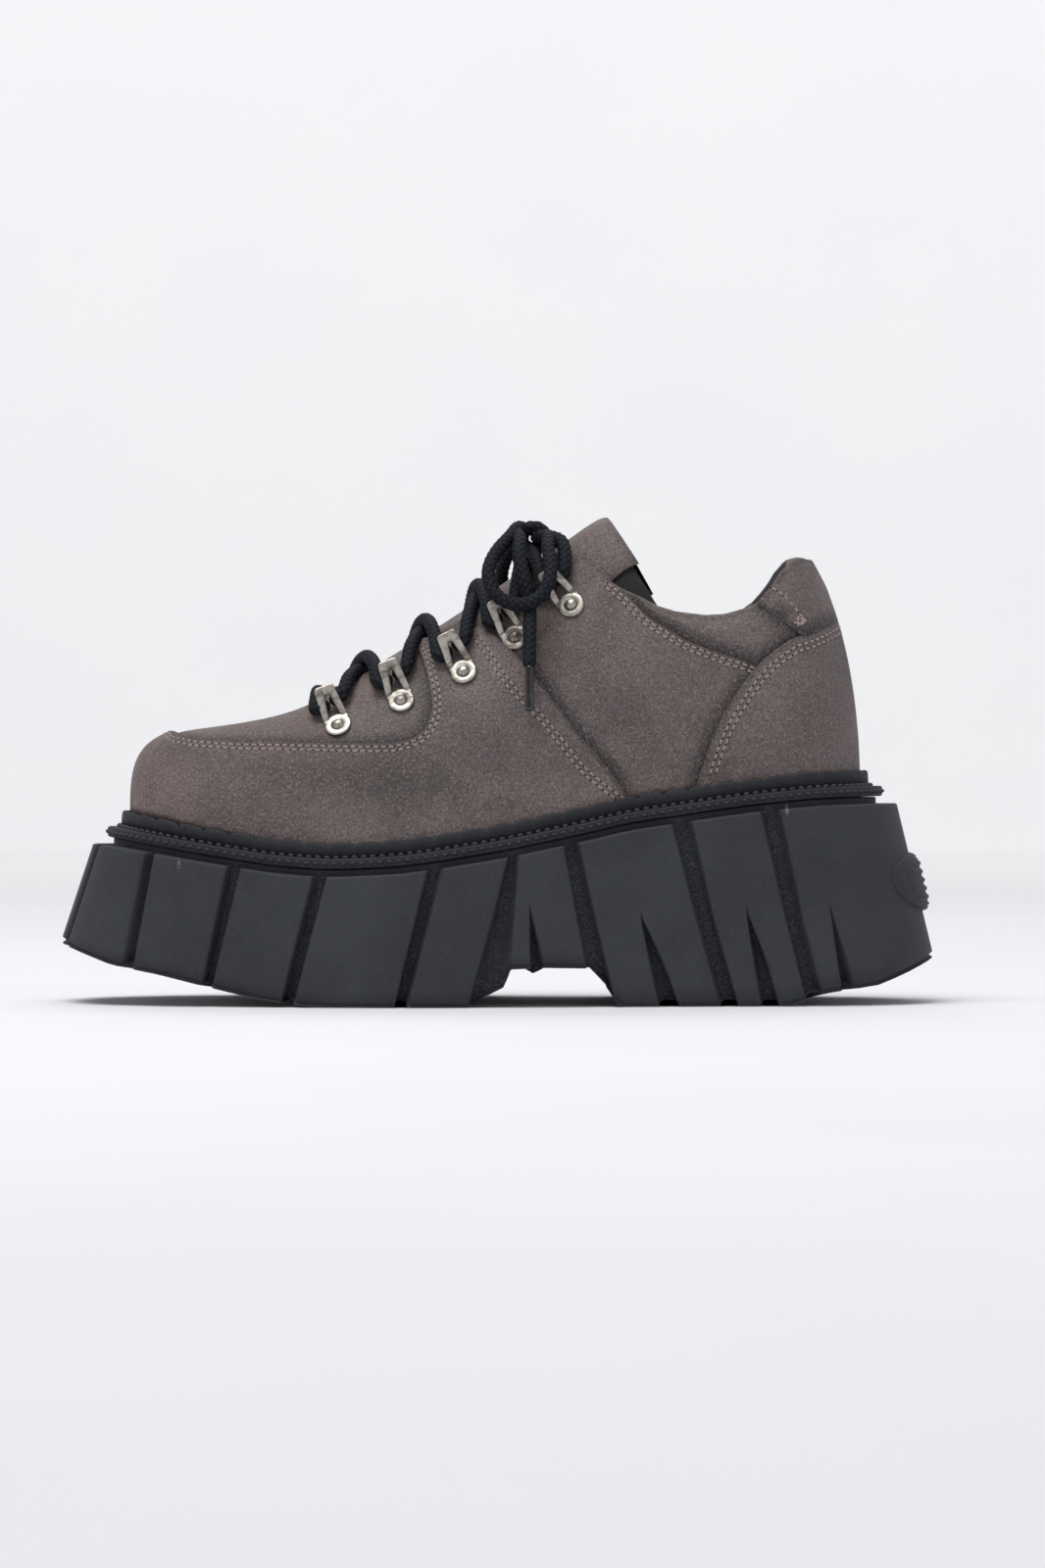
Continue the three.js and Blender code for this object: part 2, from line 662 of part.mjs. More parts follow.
const insoleOut = () => -WALL - GAP;
const insoleFoot = (x) => seat(x) + GAP;
const insoleTop = (x) => insoleFoot(x) + INSOLE_THICKNESS;
const insole = soleSolid(
  [
    { offset: () => insoleOut() - EDGE, height: insoleTop },
    { offset: insoleOut, height: insoleFoot },
  ],
  insoleTop,
  insoleFoot,
);

// The rand is a ring, so its rows close on themselves
function ringSolid(profile) {
  const rows = profile.map(({ offset, height }) => LINE.map((s) => [...toward(s, offset(s)), height(s.b[0])]));
  return solid(fromRows([...rows, rows[0]]));
}
const randTop = (x) => seat(x) + RAND_HEIGHT;
const rand = ringSolid([
  { offset: randIn, height: seat },
  { offset: randIn, height: randTop },
  { offset: () => randOut() - EDGE, height: randTop },
  { offset: randOut, height: (x) => randTop(x) - EDGE },
  { offset: randOut, height: seat },
]);

const blockBody = (proud) =>
  soleSolid(
    [
      { offset: (s) => lugTop(s) + proud - EDGE, height: shoulder },
      { offset: (s) => lugTop(s) + proud, height: (x) => shoulder(x) - EDGE },
      { offset: (s) => lugFoot(s) + proud, local: (x) => tread(x) + 2 * EDGE },
      { offset: (s) => lugFoot(s) + proud - 2 * EDGE, local: tread },
    ],
    shoulder,
    tread,
    2,
  );
const core = soleSolid(
  [
    { offset: onLine, height: soleTop },
    { offset: (s) => weltOut(s) - 2 * EDGE, height: soleTop },
    { offset: (s) => weltOut(s) - 2 * EDGE, height: shoulder },
    { offset: (s) => lugFoot(s) - GROOVE_DEPTH, local: coreFloor },
  ],
  soleTop,
  coreFloor,
);

const blockPrism = (block) => {
  const edge = (list) => list.map((at, i) => [soleX(at), BLOCK_HEIGHTS[i]]);
  const front = edge(block.front);
  const rear = edge(block.rear);
  const beyond = ([a, b], z) => {
    const t = (z - a[1]) / (b[1] - a[1]);
    return [mix(a[0], b[0], t), z];
  };
  const high = PLATFORM + HEEL_RISE;
  return across([
    beyond([front[0], front[1]], high),
    front[1],
    beyond([front[1], front[2]], -10),
    beyond([rear[1], rear[2]], -10),
    rear[1],
    beyond([rear[0], rear[1]], high),
  ]);
};
const clawPrism = (claw) =>
  across([
    [soleX(claw.tip), claw.height],
    [mix(soleX(claw.tip), soleX(claw.front), 0.6) - 0.6, claw.height * 0.45],
    [soleX(claw.front) - 0.4, -10],
    [soleX(claw.rear) + 0.8, -10],
    [mix(soleX(claw.tip), soleX(claw.rear), 0.6) + 0.6, claw.height * 0.45],
  ]);

// Two upright cuts in the front of the toe block
const toeGroove = (side) => {
  const y = SPINE_TOE_SHIFT + (side * TOE_GROOVE_APART) / 2;
  const lean = side * 3;
  return upright(
    [
      [UPPER_TOE - 60, y + lean - TOE_GROOVE_WIDTH / 2],
      [UPPER_TOE + 10, y - TOE_GROOVE_WIDTH / 2],
      [UPPER_TOE + 10, y + TOE_GROOVE_WIDTH / 2],
      [UPPER_TOE - 60, y + lean + TOE_GROOVE_WIDTH / 2],
    ],
    -10,
    PLATFORM * 2,
  );
};

function padPrism() {
  const shape = new THREE.Shape();
  shape.absellipse(0, 0, PAD_WIDTH / 2, PAD_HEIGHT / 2, 0, Math.PI * 2);
  const geometry = new THREE.ExtrudeGeometry(shape, { depth: 60, bevelEnabled: false, curveSegments: 10 });
  geometry.rotateX(Math.PI / 2);
  geometry.rotateZ(Math.PI / 2);
  geometry.translate(HEEL_CENTRE + 10, SPINE_HEEL_SHIFT, PAD_CENTRE);
  return solid(geometry);
}

const blocks = joined(BLOCKS.map(blockPrism))
  .subtract(joined(CLAWS.map(clawPrism)))
  .subtract(toeGroove(-1))
  .subtract(toeGroove(1));
const pad = blockBody(PAD_PROUD).intersect(padPrism());
const outsole = blockBody(0).intersect(blocks).add(core).add(pad);

// The tongue lies under the throat and stands up above it. Its cross-sections lean back
// towards the top, and each point is dropped from the ridge until it meets the surface.
function tongueSolid() {
  const along = 16;
  const wide = 10;
  const lift = WALL + TONGUE_CLEAR - GAP;
  const kAt = (x, y) => {
    const inside = clamp(1 - (Math.abs(y - spineY(x)) / (throatHalf(x) - 2)) ** 2, 0, 1);
    const shown = smooth(upperX(THROAT_FRONT) + TONGUE_SHOWN_FROM, upperX(THROAT_FRONT) + TONGUE_SHOWN_TO, x);
    return -(WALL + TONGUE_CLEAR) + lift * inside * shown;
  };
  const point = (a, across01, depth) => {
    const x0 = mix(upperX(TONGUE_FRONT), upperX(TONGUE_TOP), a);
    const half = mix(TONGUE_FRONT_WIDTH, TONGUE_TOP_WIDTH, smooth(0.1, 1, a)) / 2;
    const lean = TONGUE_LEAN * a * a;
    const y = spineY(x0) + half * across01;
    const top = crest(x0) + DROP_FROM;
    let low = 0;
    let high = 60;
    for (let i = 0; i < 40; i++) {
      const d = (low + high) / 2;
      const x = x0 + Math.sin(lean) * d;
      const z = top - Math.cos(lean) * d;
      if (z > surface(x, y, kAt(x, y) - depth)) low = d;
      else high = d;
    }
    return [x0 + Math.sin(lean) * low, y, top - Math.cos(lean) * low];
  };
  const rows = [];
  for (let i = 0; i <= along; i++) {
    const a = i / along;
    const row = [];
    for (let j = 0; j <= wide; j++) row.push(point(a, -1 + (2 * j) / wide, 0));
    for (let j = wide; j >= 0; j--) row.push(point(a, -1 + (2 * j) / wide, TONGUE_THICKNESS));
    rows.push(row);
  }
  const middle = (row) => {
    const sum = [0, 0, 0];
    for (const p of row) for (let k = 0; k < 3; k++) sum[k] += p[k] / row.length;
    return row.map(() => sum);
  };
  return solid(fromRows([middle(rows[0]), ...rows, middle(rows[rows.length - 1])]));
}
const tongue = tongueSolid();

const vector = (p) => new THREE.Vector3(...p);

// Place and directions of a lace loop: along the leather to its tip, across, and out of the leather
function loopFrame(row, side) {
  const k = row.layers * overlayOut;
  const x = upperX(row.at);
  const z = upZ(row.up);
  const origin = vector([x, surfaceY(x, z, side, k), z]);
  const step = 2;
  const aheadY = surfaceY(x + step, z, side, k) - surfaceY(x - step, z, side, k);
  const aboveY = surfaceY(x, z + step, side, k) - surfaceY(x, z - step, side, k);
  const ahead = new THREE.Vector3(2 * step, aheadY, 0);
  const above = new THREE.Vector3(0, aboveY, 2 * step);
  const out = ahead.clone().cross(above).normalize();
  if (out.y * side < 0) out.negate();
  const tipX = upperX(row.tipAt);
  const tipZ = upZ(row.tipUp);
  const tip = vector([tipX, surfaceY(tipX, tipZ, side, k), tipZ]).sub(origin);
  const along = tip.addScaledVector(out, -tip.dot(out)).normalize();
  return { origin, out, along, over: along.clone().cross(out) };
}

const fold = LOOP_BASE_RADIUS * 0.75;

function loopSolid(row, side) {
  const { origin, out, along, over } = loopFrame(row, side);
  const half = LOOP_WIDTH / 2;
  const base = new THREE.CylinderGeometry(LOOP_BASE_RADIUS, LOOP_BASE_RADIUS, LOOP_PLATE, 10);
  base.rotateX(Math.PI / 2);
  base.translate(0, 0, LOOP_PLATE / 2);
  const head = new THREE.LatheGeometry(
    [
      new THREE.Vector2(0, 0),
      new THREE.Vector2(RIVET_RADIUS, 0),
      new THREE.Vector2(RIVET_RADIUS * 0.75, RIVET_HEIGHT * 0.7),
      new THREE.Vector2(0, RIVET_HEIGHT),
    ],
    6,
  );
  head.rotateX(Math.PI / 2);
  head.translate(0, 0, LOOP_PLATE * 0.9);
  const tipRound = half * 0.75;
  const shape = new THREE.Shape();
  shape.moveTo(-half, 0);
  shape.lineTo(half, 0);
  shape.lineTo(tipRound, LOOP_LENGTH - tipRound - fold);
  shape.absarc(0, LOOP_LENGTH - tipRound - fold, tipRound, 0, Math.PI, false);
  shape.lineTo(-half, 0);
  const slot = new THREE.Path();
  const slotHalf = LOOP_SLOT_WIDTH / 2;
  const slotFoot = LOOP_LENGTH - fold - 1.6 - LOOP_SLOT_LENGTH;
  slot.moveTo(-slotHalf * 1.25, slotFoot);
  slot.lineTo(-slotHalf, slotFoot + LOOP_SLOT_LENGTH - slotHalf);
  slot.absarc(0, slotFoot + LOOP_SLOT_LENGTH - slotHalf, slotHalf, Math.PI, 0, true);
  slot.lineTo(slotHalf * 1.25, slotFoot);
  slot.lineTo(-slotHalf * 1.25, slotFoot);
  shape.holes.push(slot);
  const plate = new THREE.ExtrudeGeometry(shape, { depth: LOOP_PLATE, bevelEnabled: false, curveSegments: 2 });
  plate.rotateX(LOOP_LIFT);
  plate.translate(0, fold, 0);
  const place = new THREE.Matrix4().makeBasis(over, along, out);
  place.setPosition(origin.addScaledVector(out, LOOP_CLEAR));
  const parts = [base, head, plate].map((g) => solid(g.applyMatrix4(place)));
  return joined(parts);
}

// A round cord along a smooth curve through chosen points
function cord(points, radius, steps, sides = 8) {
  const path = new THREE.CatmullRomCurve3(points.map(vector), false, "centripetal");
  const section = new THREE.Shape();
  for (let i = 0; i < sides; i++) {
    const angle = (2 * Math.PI * i) / sides;
    const p = [radius * Math.cos(angle), radius * Math.sin(angle)];
    if (i === 0) section.moveTo(...p);
    else section.lineTo(...p);
  }
  return solid(new THREE.ExtrudeGeometry(section, { steps, bevelEnabled: false, extrudePath: path }));
}

const laceRadius = LACE / 2;

// Where a lace leaves a loop, on the side of the throat: turn is -1 for the strand nearer the toe and 1 for the other
function laceEnd(row, side, turn) {
  const { origin, out, along, over } = loopFrame(row, side);
  const heelwards = over.x > 0 ? 1 : -1;
  return origin
    .clone()
    .addScaledVector(along, LOOP_LENGTH + laceRadius - 3 * GAP)
    .addScaledVector(over, heelwards * turn * (laceRadius + 0.7 * GAP))
    .addScaledVector(out, LOOP_CLEAR + LOOP_PLATE / 2 + (LOOP_LENGTH - fold) * Math.sin(LOOP_LIFT))
    .toArray();
}

// A strand from one loop to another that lies on the leather and the tongue, with a hump in the middle
function strand(start, end, hump) {
  const points = [];
  const steps = 8;
  for (let i = 0; i <= steps; i++) {
    const t = i / steps;
    const [x, y, z] = start.map((v, k) => mix(v, end[k], t));
    const slope = (surface(x, y + 1, overlayOut) - surface(x, y - 1, overlayOut)) / 2;
    const lie = surface(x, y, overlayOut) + (laceRadius + LACE_CLEAR) * Math.hypot(1, slope);
    const rise = Math.sin(Math.PI * t) ** 2 * hump;
    points.push([x, y, (i === 0 || i === steps ? z : Math.max(z, lie)) + rise]);
  }
  return cord(points, laceRadius, steps);
}

const laceBar = strand(laceEnd(EYELETS[0], -1, -1), laceEnd(EYELETS[0], 1, -1), 0);
const crossing = (i) =>
  strand(laceEnd(EYELETS[i], -1, 1), laceEnd(EYELETS[i + 1], 1, -1), 0).add(
    strand(laceEnd(EYELETS[i], 1, 1), laceEnd(EYELETS[i + 1], -1, -1), LACE * 0.6),
  );

const KNOT_AT = 0.5535;
const KNOT_LIFT = 8.6;
const knotX = upperX(KNOT_AT);
const knotCentre = [knotX, spineY(knotX), crest(knotX) + KNOT_LIFT];
const KNOT_SHAPE = [1.1, 1.3, 0.9];
function knotSolid() {
  const geometry = new THREE.SphereGeometry(KNOT_RADIUS, 10, 7);
  geometry.scale(...KNOT_SHAPE);
  geometry.translate(...knotCentre);
  return solid(geometry);
}

const fromKnot = (points, side) => points.map(([x, y, z]) => [knotCentre[0] + x, knotCentre[1] + side * y, knotCentre[2] + z]);

// Two points straight out of the knot's surface in a direction, for a cord that starts there
function knotExit(direction) {
  const axes = KNOT_SHAPE.map((v) => v * KNOT_RADIUS);
  const scale = 1 / Math.hypot(...direction.map((v, k) => v / axes[k]));
  const on = direction.map((v) => v * scale);
  const normal = vector(on.map((v, k) => v / axes[k] ** 2)).normalize();
  return [0.5 * GAP, 3.5].map((d) => vector(on).addScaledVector(normal, d).toArray());
}

// The bow's loops, as chosen points from the knot: along the shoe, outwards and up
const LOOP_ROUTE = [
  ...knotExit([-2, 3, 4.4]),
  [-8.5, 13.5, 6],
  [-14, 24, -5],
  [-15.6, 30, -14],
  [-12.7, 33.6, -19],
  [-6.8, 34.6, -20.6],
  [-0.5, 33.6, -17],
  [3.4, 27, -9],
  [5.4, 17, -1],
  ...knotExit([3.4, 4, 1]).reverse(),
];
const bowLoop = (side) => cord(fromKnot(LOOP_ROUTE, side), laceRadius, 16);

// The hanging ends: from the knot out over the leather, then down the side of the shoe
const END_ROUTE = [
  ...knotExit([-3.2, 4.5, 0.8]),
  [-5, 16.5, -1],
  [-5.2, 23.4, -6.6],
  [-3.4, 27.6, -15],
];
const END_DROP = 48;
const END_CLEAR = 4.2;
function bowEnd(side, share) {
  const x = knotX - 1.5;
  const lay = (z) => [x, surfaceY(x, z, side, overlayOut) + side * (laceRadius + END_CLEAR), z];
  const first = knotCentre[2] - 24;
  const low = knotCentre[2] - END_DROP * share;
  return {
    string: cord([...fromKnot(END_ROUTE, side), lay(first), lay(mix(first, low, 0.5)), lay(low)], laceRadius, 10),
    aglet: cord([lay(low - GAP), lay(low - GAP - AGLET_LENGTH)], AGLET / 2, 2),
  };
}

const leather = { color: 0x5b5250, roughness: 0.85, metalness: 0 };
const rubber = { color: 0x35373b, roughness: 0.7, metalness: 0 };
const lace = { color: 0x15161c, roughness: 0.9, metalness: 0 };
const metal = { color: 0x8a8378, roughness: 0.35, metalness: 1 };
const lining = { color: 0x1c1c1e, roughness: 0.95, metalness: 0 };

const shoe = new THREE.Group();
shoe.name = "shoe";

function put(name, manifold, look) {
  const mesh = new THREE.Mesh(geometryOf(manifold), new THREE.MeshStandardMaterial(look));
  mesh.name = name;
  shoe.add(mesh);
  return mesh;
}

put("outsole", outsole, rubber);
put("welt", welt, rubber);
put("rand", rand, rubber);
put("insole", insole, lining);
put("upper", upper, leather);
put("mudguard", mudguard, leather);
put("heel_counter", counter, leather);
put("heel_tab", heelTab, leather);
put("tongue", tongue, leather);
put("lace_bar", laceBar, lace);
for (let i = 0; i < EYELETS.length - 1; i++) put(`lace_crossing_${i + 1}`, crossing(i), lace);
EYELETS.forEach((row, i) => {
  put(`loop_lateral_${i + 1}`, loopSolid(row, -1), metal);
  put(`loop_medial_${i + 1}`, loopSolid(row, 1), metal);
});
put("lace_knot", knotSolid(), lace);
for (const [name, side, share] of [
  ["lateral", -1, 1],
  ["medial", 1, 0.9],
]) {
  const end = bowEnd(side, share);
  put(`lace_loop_${name}`, bowLoop(side), lace);
  put(`lace_end_${name}`, end.string, lace);
  put(`aglet_${name}`, end.aglet, metal);
}

// The shoe stands centred on its sole
const foot = new THREE.Box3().setFromObject(shoe.getObjectByName("outsole"));
shoe.position.set(-(foot.min.x + foot.max.x) / 2, -(foot.min.y + foot.max.y) / 2, -foot.min.z);

export default shoe;
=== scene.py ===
# %% [markdown]
# # A platform lace-up shoe
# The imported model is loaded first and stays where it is. Everything made here is worked out in
# millimetres around the same last that the solids were cut from, and is turned into metres when
# it becomes a mesh.

# %% Load the frame
import bpy
import bmesh
import numpy as np
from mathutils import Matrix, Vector


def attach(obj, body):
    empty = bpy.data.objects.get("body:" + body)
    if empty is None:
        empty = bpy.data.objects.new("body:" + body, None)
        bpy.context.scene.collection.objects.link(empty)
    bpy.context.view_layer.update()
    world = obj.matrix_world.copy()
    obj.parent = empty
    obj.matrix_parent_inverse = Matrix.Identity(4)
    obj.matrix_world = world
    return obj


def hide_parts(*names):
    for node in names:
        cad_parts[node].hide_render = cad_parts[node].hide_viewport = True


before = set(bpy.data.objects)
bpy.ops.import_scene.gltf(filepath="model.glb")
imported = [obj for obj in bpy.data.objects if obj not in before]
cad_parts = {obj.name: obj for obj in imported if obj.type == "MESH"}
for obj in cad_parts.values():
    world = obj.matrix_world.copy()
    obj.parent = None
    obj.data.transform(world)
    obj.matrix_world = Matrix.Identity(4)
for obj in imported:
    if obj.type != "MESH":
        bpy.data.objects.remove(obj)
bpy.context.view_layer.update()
SHIFT = np.array([0.0, 0.75, 0.0])

# %% [markdown]
# ## Camera and floor
# The shoe was photographed side on, from the height of its middle, with a long lens. A camera two
# metres away keeps the sole nearly flat in view, as it is in the photograph.

# %% Camera
EYE_X = 9.05
EYE_Z = 78.7
EYE_BACK = 2000.0
VIEW_HEIGHT = 568.0
FILM = 36.0

lens = bpy.data.cameras.new("side_view")
lens.sensor_fit = "VERTICAL"
lens.sensor_height = FILM
lens.lens = FILM * EYE_BACK / VIEW_HEIGHT
lens.clip_end = 50.0
camera = bpy.data.objects.new("side_view", lens)
camera.location = (EYE_X / 1000, -EYE_BACK / 1000, EYE_Z / 1000)
camera.rotation_euler = (np.pi / 2, 0.0, 0.0)
bpy.context.scene.collection.objects.link(camera)
bpy.context.scene.camera = camera
print("lens", round(lens.lens, 1), "mm")

# %% [markdown]
# ## Reading the last
# A last is described by a few tables: how wide it is, how high the foot lies and how high the
# instep rises, at places along its length. A smooth curve joins the rows without overshooting.

# %% Curves through tables
def smooth_curve(x, y):
    """A cubic between each two rows whose slope at a row is the harmonic mean of the slopes beside it."""
    x = np.asarray(x, float)
    y = np.asarray(y, float)
    slope = np.diff(y) / np.diff(x)
    before, after = slope[:-1], slope[1:]
    total = np.where(before + after == 0, 1.0, before + after)
    middle = np.where(before * after > 0, 2 * before * after / total, 0.0)
    tangent = np.concatenate([slope[:1], middle, slope[-1:]])

    def value(at):
        at = np.clip(at, x[0], x[-1])
        i = np.clip(np.searchsorted(x, at) - 1, 0, len(x) - 2)
        h = x[i + 1] - x[i]
        t = (at - x[i]) / h
        a = (1 + 2 * t) * (1 - t) ** 2
        c = t * t * (3 - 2 * t)
        near = a * y[i] + t * (1 - t) ** 2 * h * tangent[i]
        return near + c * y[i + 1] + t * t * (t - 1) * h * tangent[i + 1]

    return value


def mix(a, b, t):
    """The value a share t of the way from a to b."""
    return a + (b - a) * t


def smooth_step(low, high, v):
    """From 0 at low to 1 at high, level at both ends."""
    t = np.clip((v - low) / (high - low), 0, 1)
    return t * t * (3 - 2 * t)


# %% Sizes and tables of the last
LENGTH = 261.3
TOE_ROUND = 50.0
HEEL_ROUND = 33.0
BALL = 95.0
PLATFORM = 52.6
HEEL_RISE = 25.8
TOE_SPRING = 11.2
HEIGHT = 122.7
SOLE_LENGTH = 314.8
UPPER_TOE = -131.6
UPPER_HEEL = UPPER_TOE + LENGTH
TOE_CENTRE = UPPER_TOE + TOE_ROUND
HEEL_CENTRE = UPPER_HEEL - HEEL_ROUND
WIDTHS = np.array([
    [0, 0.4, 0.445], [0.1, 0.41, 0.46], [0.19, 0.43, 0.475], [0.28, 0.48, 0.492], [0.36, 0.508, 0.477],
    [0.46, 0.498, 0.43], [0.58, 0.45, 0.372], [0.7, 0.395, 0.345], [0.8, 0.366, 0.342],
    [0.88, 0.356, 0.346], [1, 0.35, 0.34],
]).T
SEAT = np.array([
    [0, 0, 1], [0.1, 0, 0.52], [0.155, 0, 0.295], [0.207, 0, 0.116], [0.285, 0, 0], [0.364, 0.035, 0],
    [0.416, 0.1, 0], [0.494, 0.229, 0], [0.573, 0.39, 0], [0.625, 0.504, 0], [0.677, 0.624, 0],
    [0.755, 0.744, 0], [0.833, 0.857, 0], [0.885, 0.919, 0], [0.937, 0.973, 0], [1, 1, 0],
]).T
CREST = np.array([
    [-0.01, 0.352, 6, 4], [0.036, 0.363, 5.8, 3.9], [0.06, 0.371, 5.6, 3.7], [0.113, 0.382, 5, 3.3],
    [0.167, 0.399, 4.2, 2.9], [0.222, 0.43, 3.3, 2.2], [0.276, 0.485, 2.7, 1.82],
    [0.307, 0.527, 2.55, 1.7], [0.366, 0.606, 2.3, 1.53], [0.443, 0.71, 2.12, 1.43],
    [0.52, 0.82, 2.05, 1.42], [0.598, 0.932, 2.02, 1.5], [0.647, 1, 2.05, 1.75], [0.7, 1.04, 2.1, 2.1],
    [0.77, 1.03, 2.2, 2.35], [0.874, 0.972, 2.05, 2.1], [1, 0.955, 2, 2],
]).T

lateral_share = smooth_curve(WIDTHS[0], WIDTHS[1])
medial_share = smooth_curve(WIDTHS[0], WIDTHS[2])
rise_share = smooth_curve(SEAT[0], SEAT[1])
spring_share = smooth_curve(SEAT[0], SEAT[2])
crest_share = smooth_curve(CREST[0], CREST[1])
side_power = smooth_curve(CREST[0], CREST[2])
roof_power = smooth_curve(CREST[0], CREST[3])


def upper_x(at):
    return UPPER_TOE + at * LENGTH


def upper_at(x):
    return (x - UPPER_TOE) / LENGTH


def up_z(up):
    return PLATFORM + up * HEIGHT


def sole_x(at):
    return (at - 0.5) * SOLE_LENGTH


def seat(x):
    """Height of the foot line: the platform, the rise to the heel and the spring of the toe."""
    return PLATFORM + HEEL_RISE * rise_share(upper_at(x)) + TOE_SPRING * spring_share(upper_at(x))


def crest(x):
    return up_z(crest_share(upper_at(x)))


def spine(x):
    """Middle line of the shoe in plan."""
    return mix(2.5, -0.5, (x - TOE_CENTRE) / (HEEL_CENTRE - TOE_CENTRE))


print("foot line from", round(float(seat(0.0)), 1), "to", round(float(seat(UPPER_HEEL)), 1), "mm above the floor")

# %% [markdown]
# ## The foot line
# Seen from above, the last is a long rounded shape. A closed line of stations runs round it from
# the back of the heel along the outer side, the toe and the inner side. Each station keeps its
# place on the spine, its place on the line and the direction outwards, so any layer of the shoe
# is this line moved outwards.

# %% Stations
TOE_POWER = 2.5
HEEL_POWER = 2.1
STEP = 0.5


def foot_half(side):
    """Half of the foot line from the heel's back to the toe: two superellipse ends and the side between."""
    angle = np.linspace(0, np.pi / 2, 160)
    share = np.linspace(0, 1, 500)[1:-1]
    heel_x = HEEL_CENTRE + HEEL_ROUND * np.abs(np.cos(angle)) ** (2 / HEEL_POWER)
    toe_x = TOE_CENTRE - TOE_ROUND * np.sin(angle) ** (2 / TOE_POWER)
    x = np.concatenate([heel_x, mix(HEEL_CENTRE, TOE_CENTRE, share), toe_x])
    cap = np.concatenate([
        np.sin(angle) ** (2 / HEEL_POWER), np.ones_like(share), np.abs(np.cos(angle)) ** (2 / TOE_POWER),
    ])
    middle = np.clip(x, TOE_CENTRE, HEEL_CENTRE)
    reach = -lateral_share(upper_at(x)) if side < 0 else medial_share(upper_at(x))
    y = spine(middle) + (reach * BALL - spine(middle)) * cap
    return np.stack([middle, spine(middle), x, y], 1)


outer_half = foot_half(-1)
inner_half = foot_half(1)[::-1]
raw = np.concatenate([outer_half, inner_half[1:]])
steps = np.hypot(*np.diff(raw[:, 2:], axis=0).T)
raw = raw[np.concatenate([[True], steps > 1e-6])]
walk = np.concatenate([[0], np.cumsum(np.hypot(*np.diff(raw[:, 2:], axis=0).T))])
AROUND = walk[-1]
COUNT = int(AROUND / STEP)
WALK = np.linspace(0, AROUND, COUNT, endpoint=False)
LINE = np.stack([np.interp(WALK, walk, raw[:, k]) for k in range(4)], 1)
ahead = np.roll(LINE[:, 2:], -8, axis=0) - np.roll(LINE[:, 2:], 8, axis=0)
ahead /= np.linalg.norm(ahead, axis=1, keepdims=True)
OUTWARD = np.stack([-ahead[:, 1], ahead[:, 0]], 1)
window = np.hanning(19)
window /= window.sum()
OUTWARD = np.stack([
    np.convolve(np.concatenate([c[-9:], c, c[:9]]), window, "valid") for c in OUTWARD.T
], 1)
OUTWARD /= np.linalg.norm(OUTWARD, axis=1, keepdims=True)
TOE_AT = WALK[np.argmin(LINE[:, 2])]


def station(a):
    """Spine place, line place and outward direction at distances a along the foot line."""
    a = np.mod(a, AROUND)
    grid = np.concatenate([WALK, [AROUND]])
    table = np.concatenate([np.concatenate([LINE, OUTWARD], 1), np.concatenate([LINE[:1], OUTWARD[:1]], 1)])
    c = [np.interp(a, grid, table[:, k]) for k in range(6)]
    length = np.hypot(c[4], c[5])
    return c[0], c[1], c[2], c[3], c[4] / length, c[5] / length


def last_point(a, phi, k):
    """The last's surface moved outwards by k. Across the section both the distance from the spine and the
    height follow a superellipse: cosine and sine of phi, each to its own power."""
    cx, cy, bx, by, nx, ny = station(a)
    at = upper_at(bx)
    out = np.clip(np.cos(phi), 0, 1) ** (2 / side_power(at))
    x = mix(cx, bx + nx * k, out)
    y = mix(cy, by + ny * k, out)
    low = seat(bx)
    top = crest(np.clip(x, UPPER_TOE, UPPER_HEEL)) + k
    z = low + (top - low) * np.clip(np.sin(phi), 0, 1) ** (2 / roof_power(at))
    return np.stack([x, y, z], -1)


def side_walk(x, side):
    """Distance along the foot line at which one side passes a place x."""
    if side < 0:
        part = WALK <= TOE_AT
        return np.interp(-np.asarray(x), -LINE[part, 2], WALK[part])
    part = WALK >= TOE_AT
    return np.interp(x, LINE[part, 2], WALK[part])


def solve_phi(a, test):
    """The angle at which test(point) turns from below 0 to above it, found by halving."""
    low = np.zeros_like(a)
    high = np.full_like(a, np.pi / 2)
    for _ in range(36):
        middle = (low + high) / 2
        over = test(last_point(a, middle, 0.0)) > 0
        high = np.where(over, middle, high)
        low = np.where(over, low, middle)
    return (low + high) / 2


def on_side(x, z, side):
    """Distances along the foot line and angles of side-view points (x, z) on one side of the last."""
    x = np.asarray(x, float)[:, None]
    z = np.asarray(z, float)[:, None]
    a = np.linspace(0.2, TOE_AT - 0.2, 400) if side < 0 else np.linspace(AROUND - 0.2, TOE_AT + 0.2, 400)
    grid = np.broadcast_to(a, (x.shape[0], a.size)).copy()
    phi = solve_phi(grid, lambda p: p[..., 2] - z)
    reached = last_point(grid, phi, 0.0)[..., 0]
    found_a = np.empty(x.shape[0])
    found_phi = np.empty(x.shape[0])
    for i in range(x.shape[0]):
        order = np.argsort(reached[i])
        found_a[i] = np.interp(x[i, 0], reached[i][order], a[order])
        found_phi[i] = np.interp(x[i, 0], reached[i][order], phi[i][order])
    return found_a, found_phi


print("foot line", round(AROUND, 1), "mm round, toe at", round(float(TOE_AT), 1))

# %% [markdown]
# ## From grids to meshes
# Nearly every piece is a grid of points: rows along one direction and columns along the other.
# One helper turns such a grid into a mesh, joins the ends where the piece closes on itself, and
# keeps numbers such as the distance to a cut edge for the materials to read.

# %% Mesh helpers
def grid_faces(rows, columns, wrap=False, flip=False, first=0):
    """Four-sided faces between neighbouring points of a grid. Wrap joins the last column to the first."""
    index = first + np.arange(rows * columns).reshape(rows, columns)
    if wrap:
        index = np.concatenate([index, index[:, :1]], 1)
    a, b, c, d = index[:-1, :-1], index[:-1, 1:], index[1:, 1:], index[1:, :-1]
    faces = np.stack([a, b, c, d], -1).reshape(-1, 4)
    return faces[:, ::-1] if flip else faces


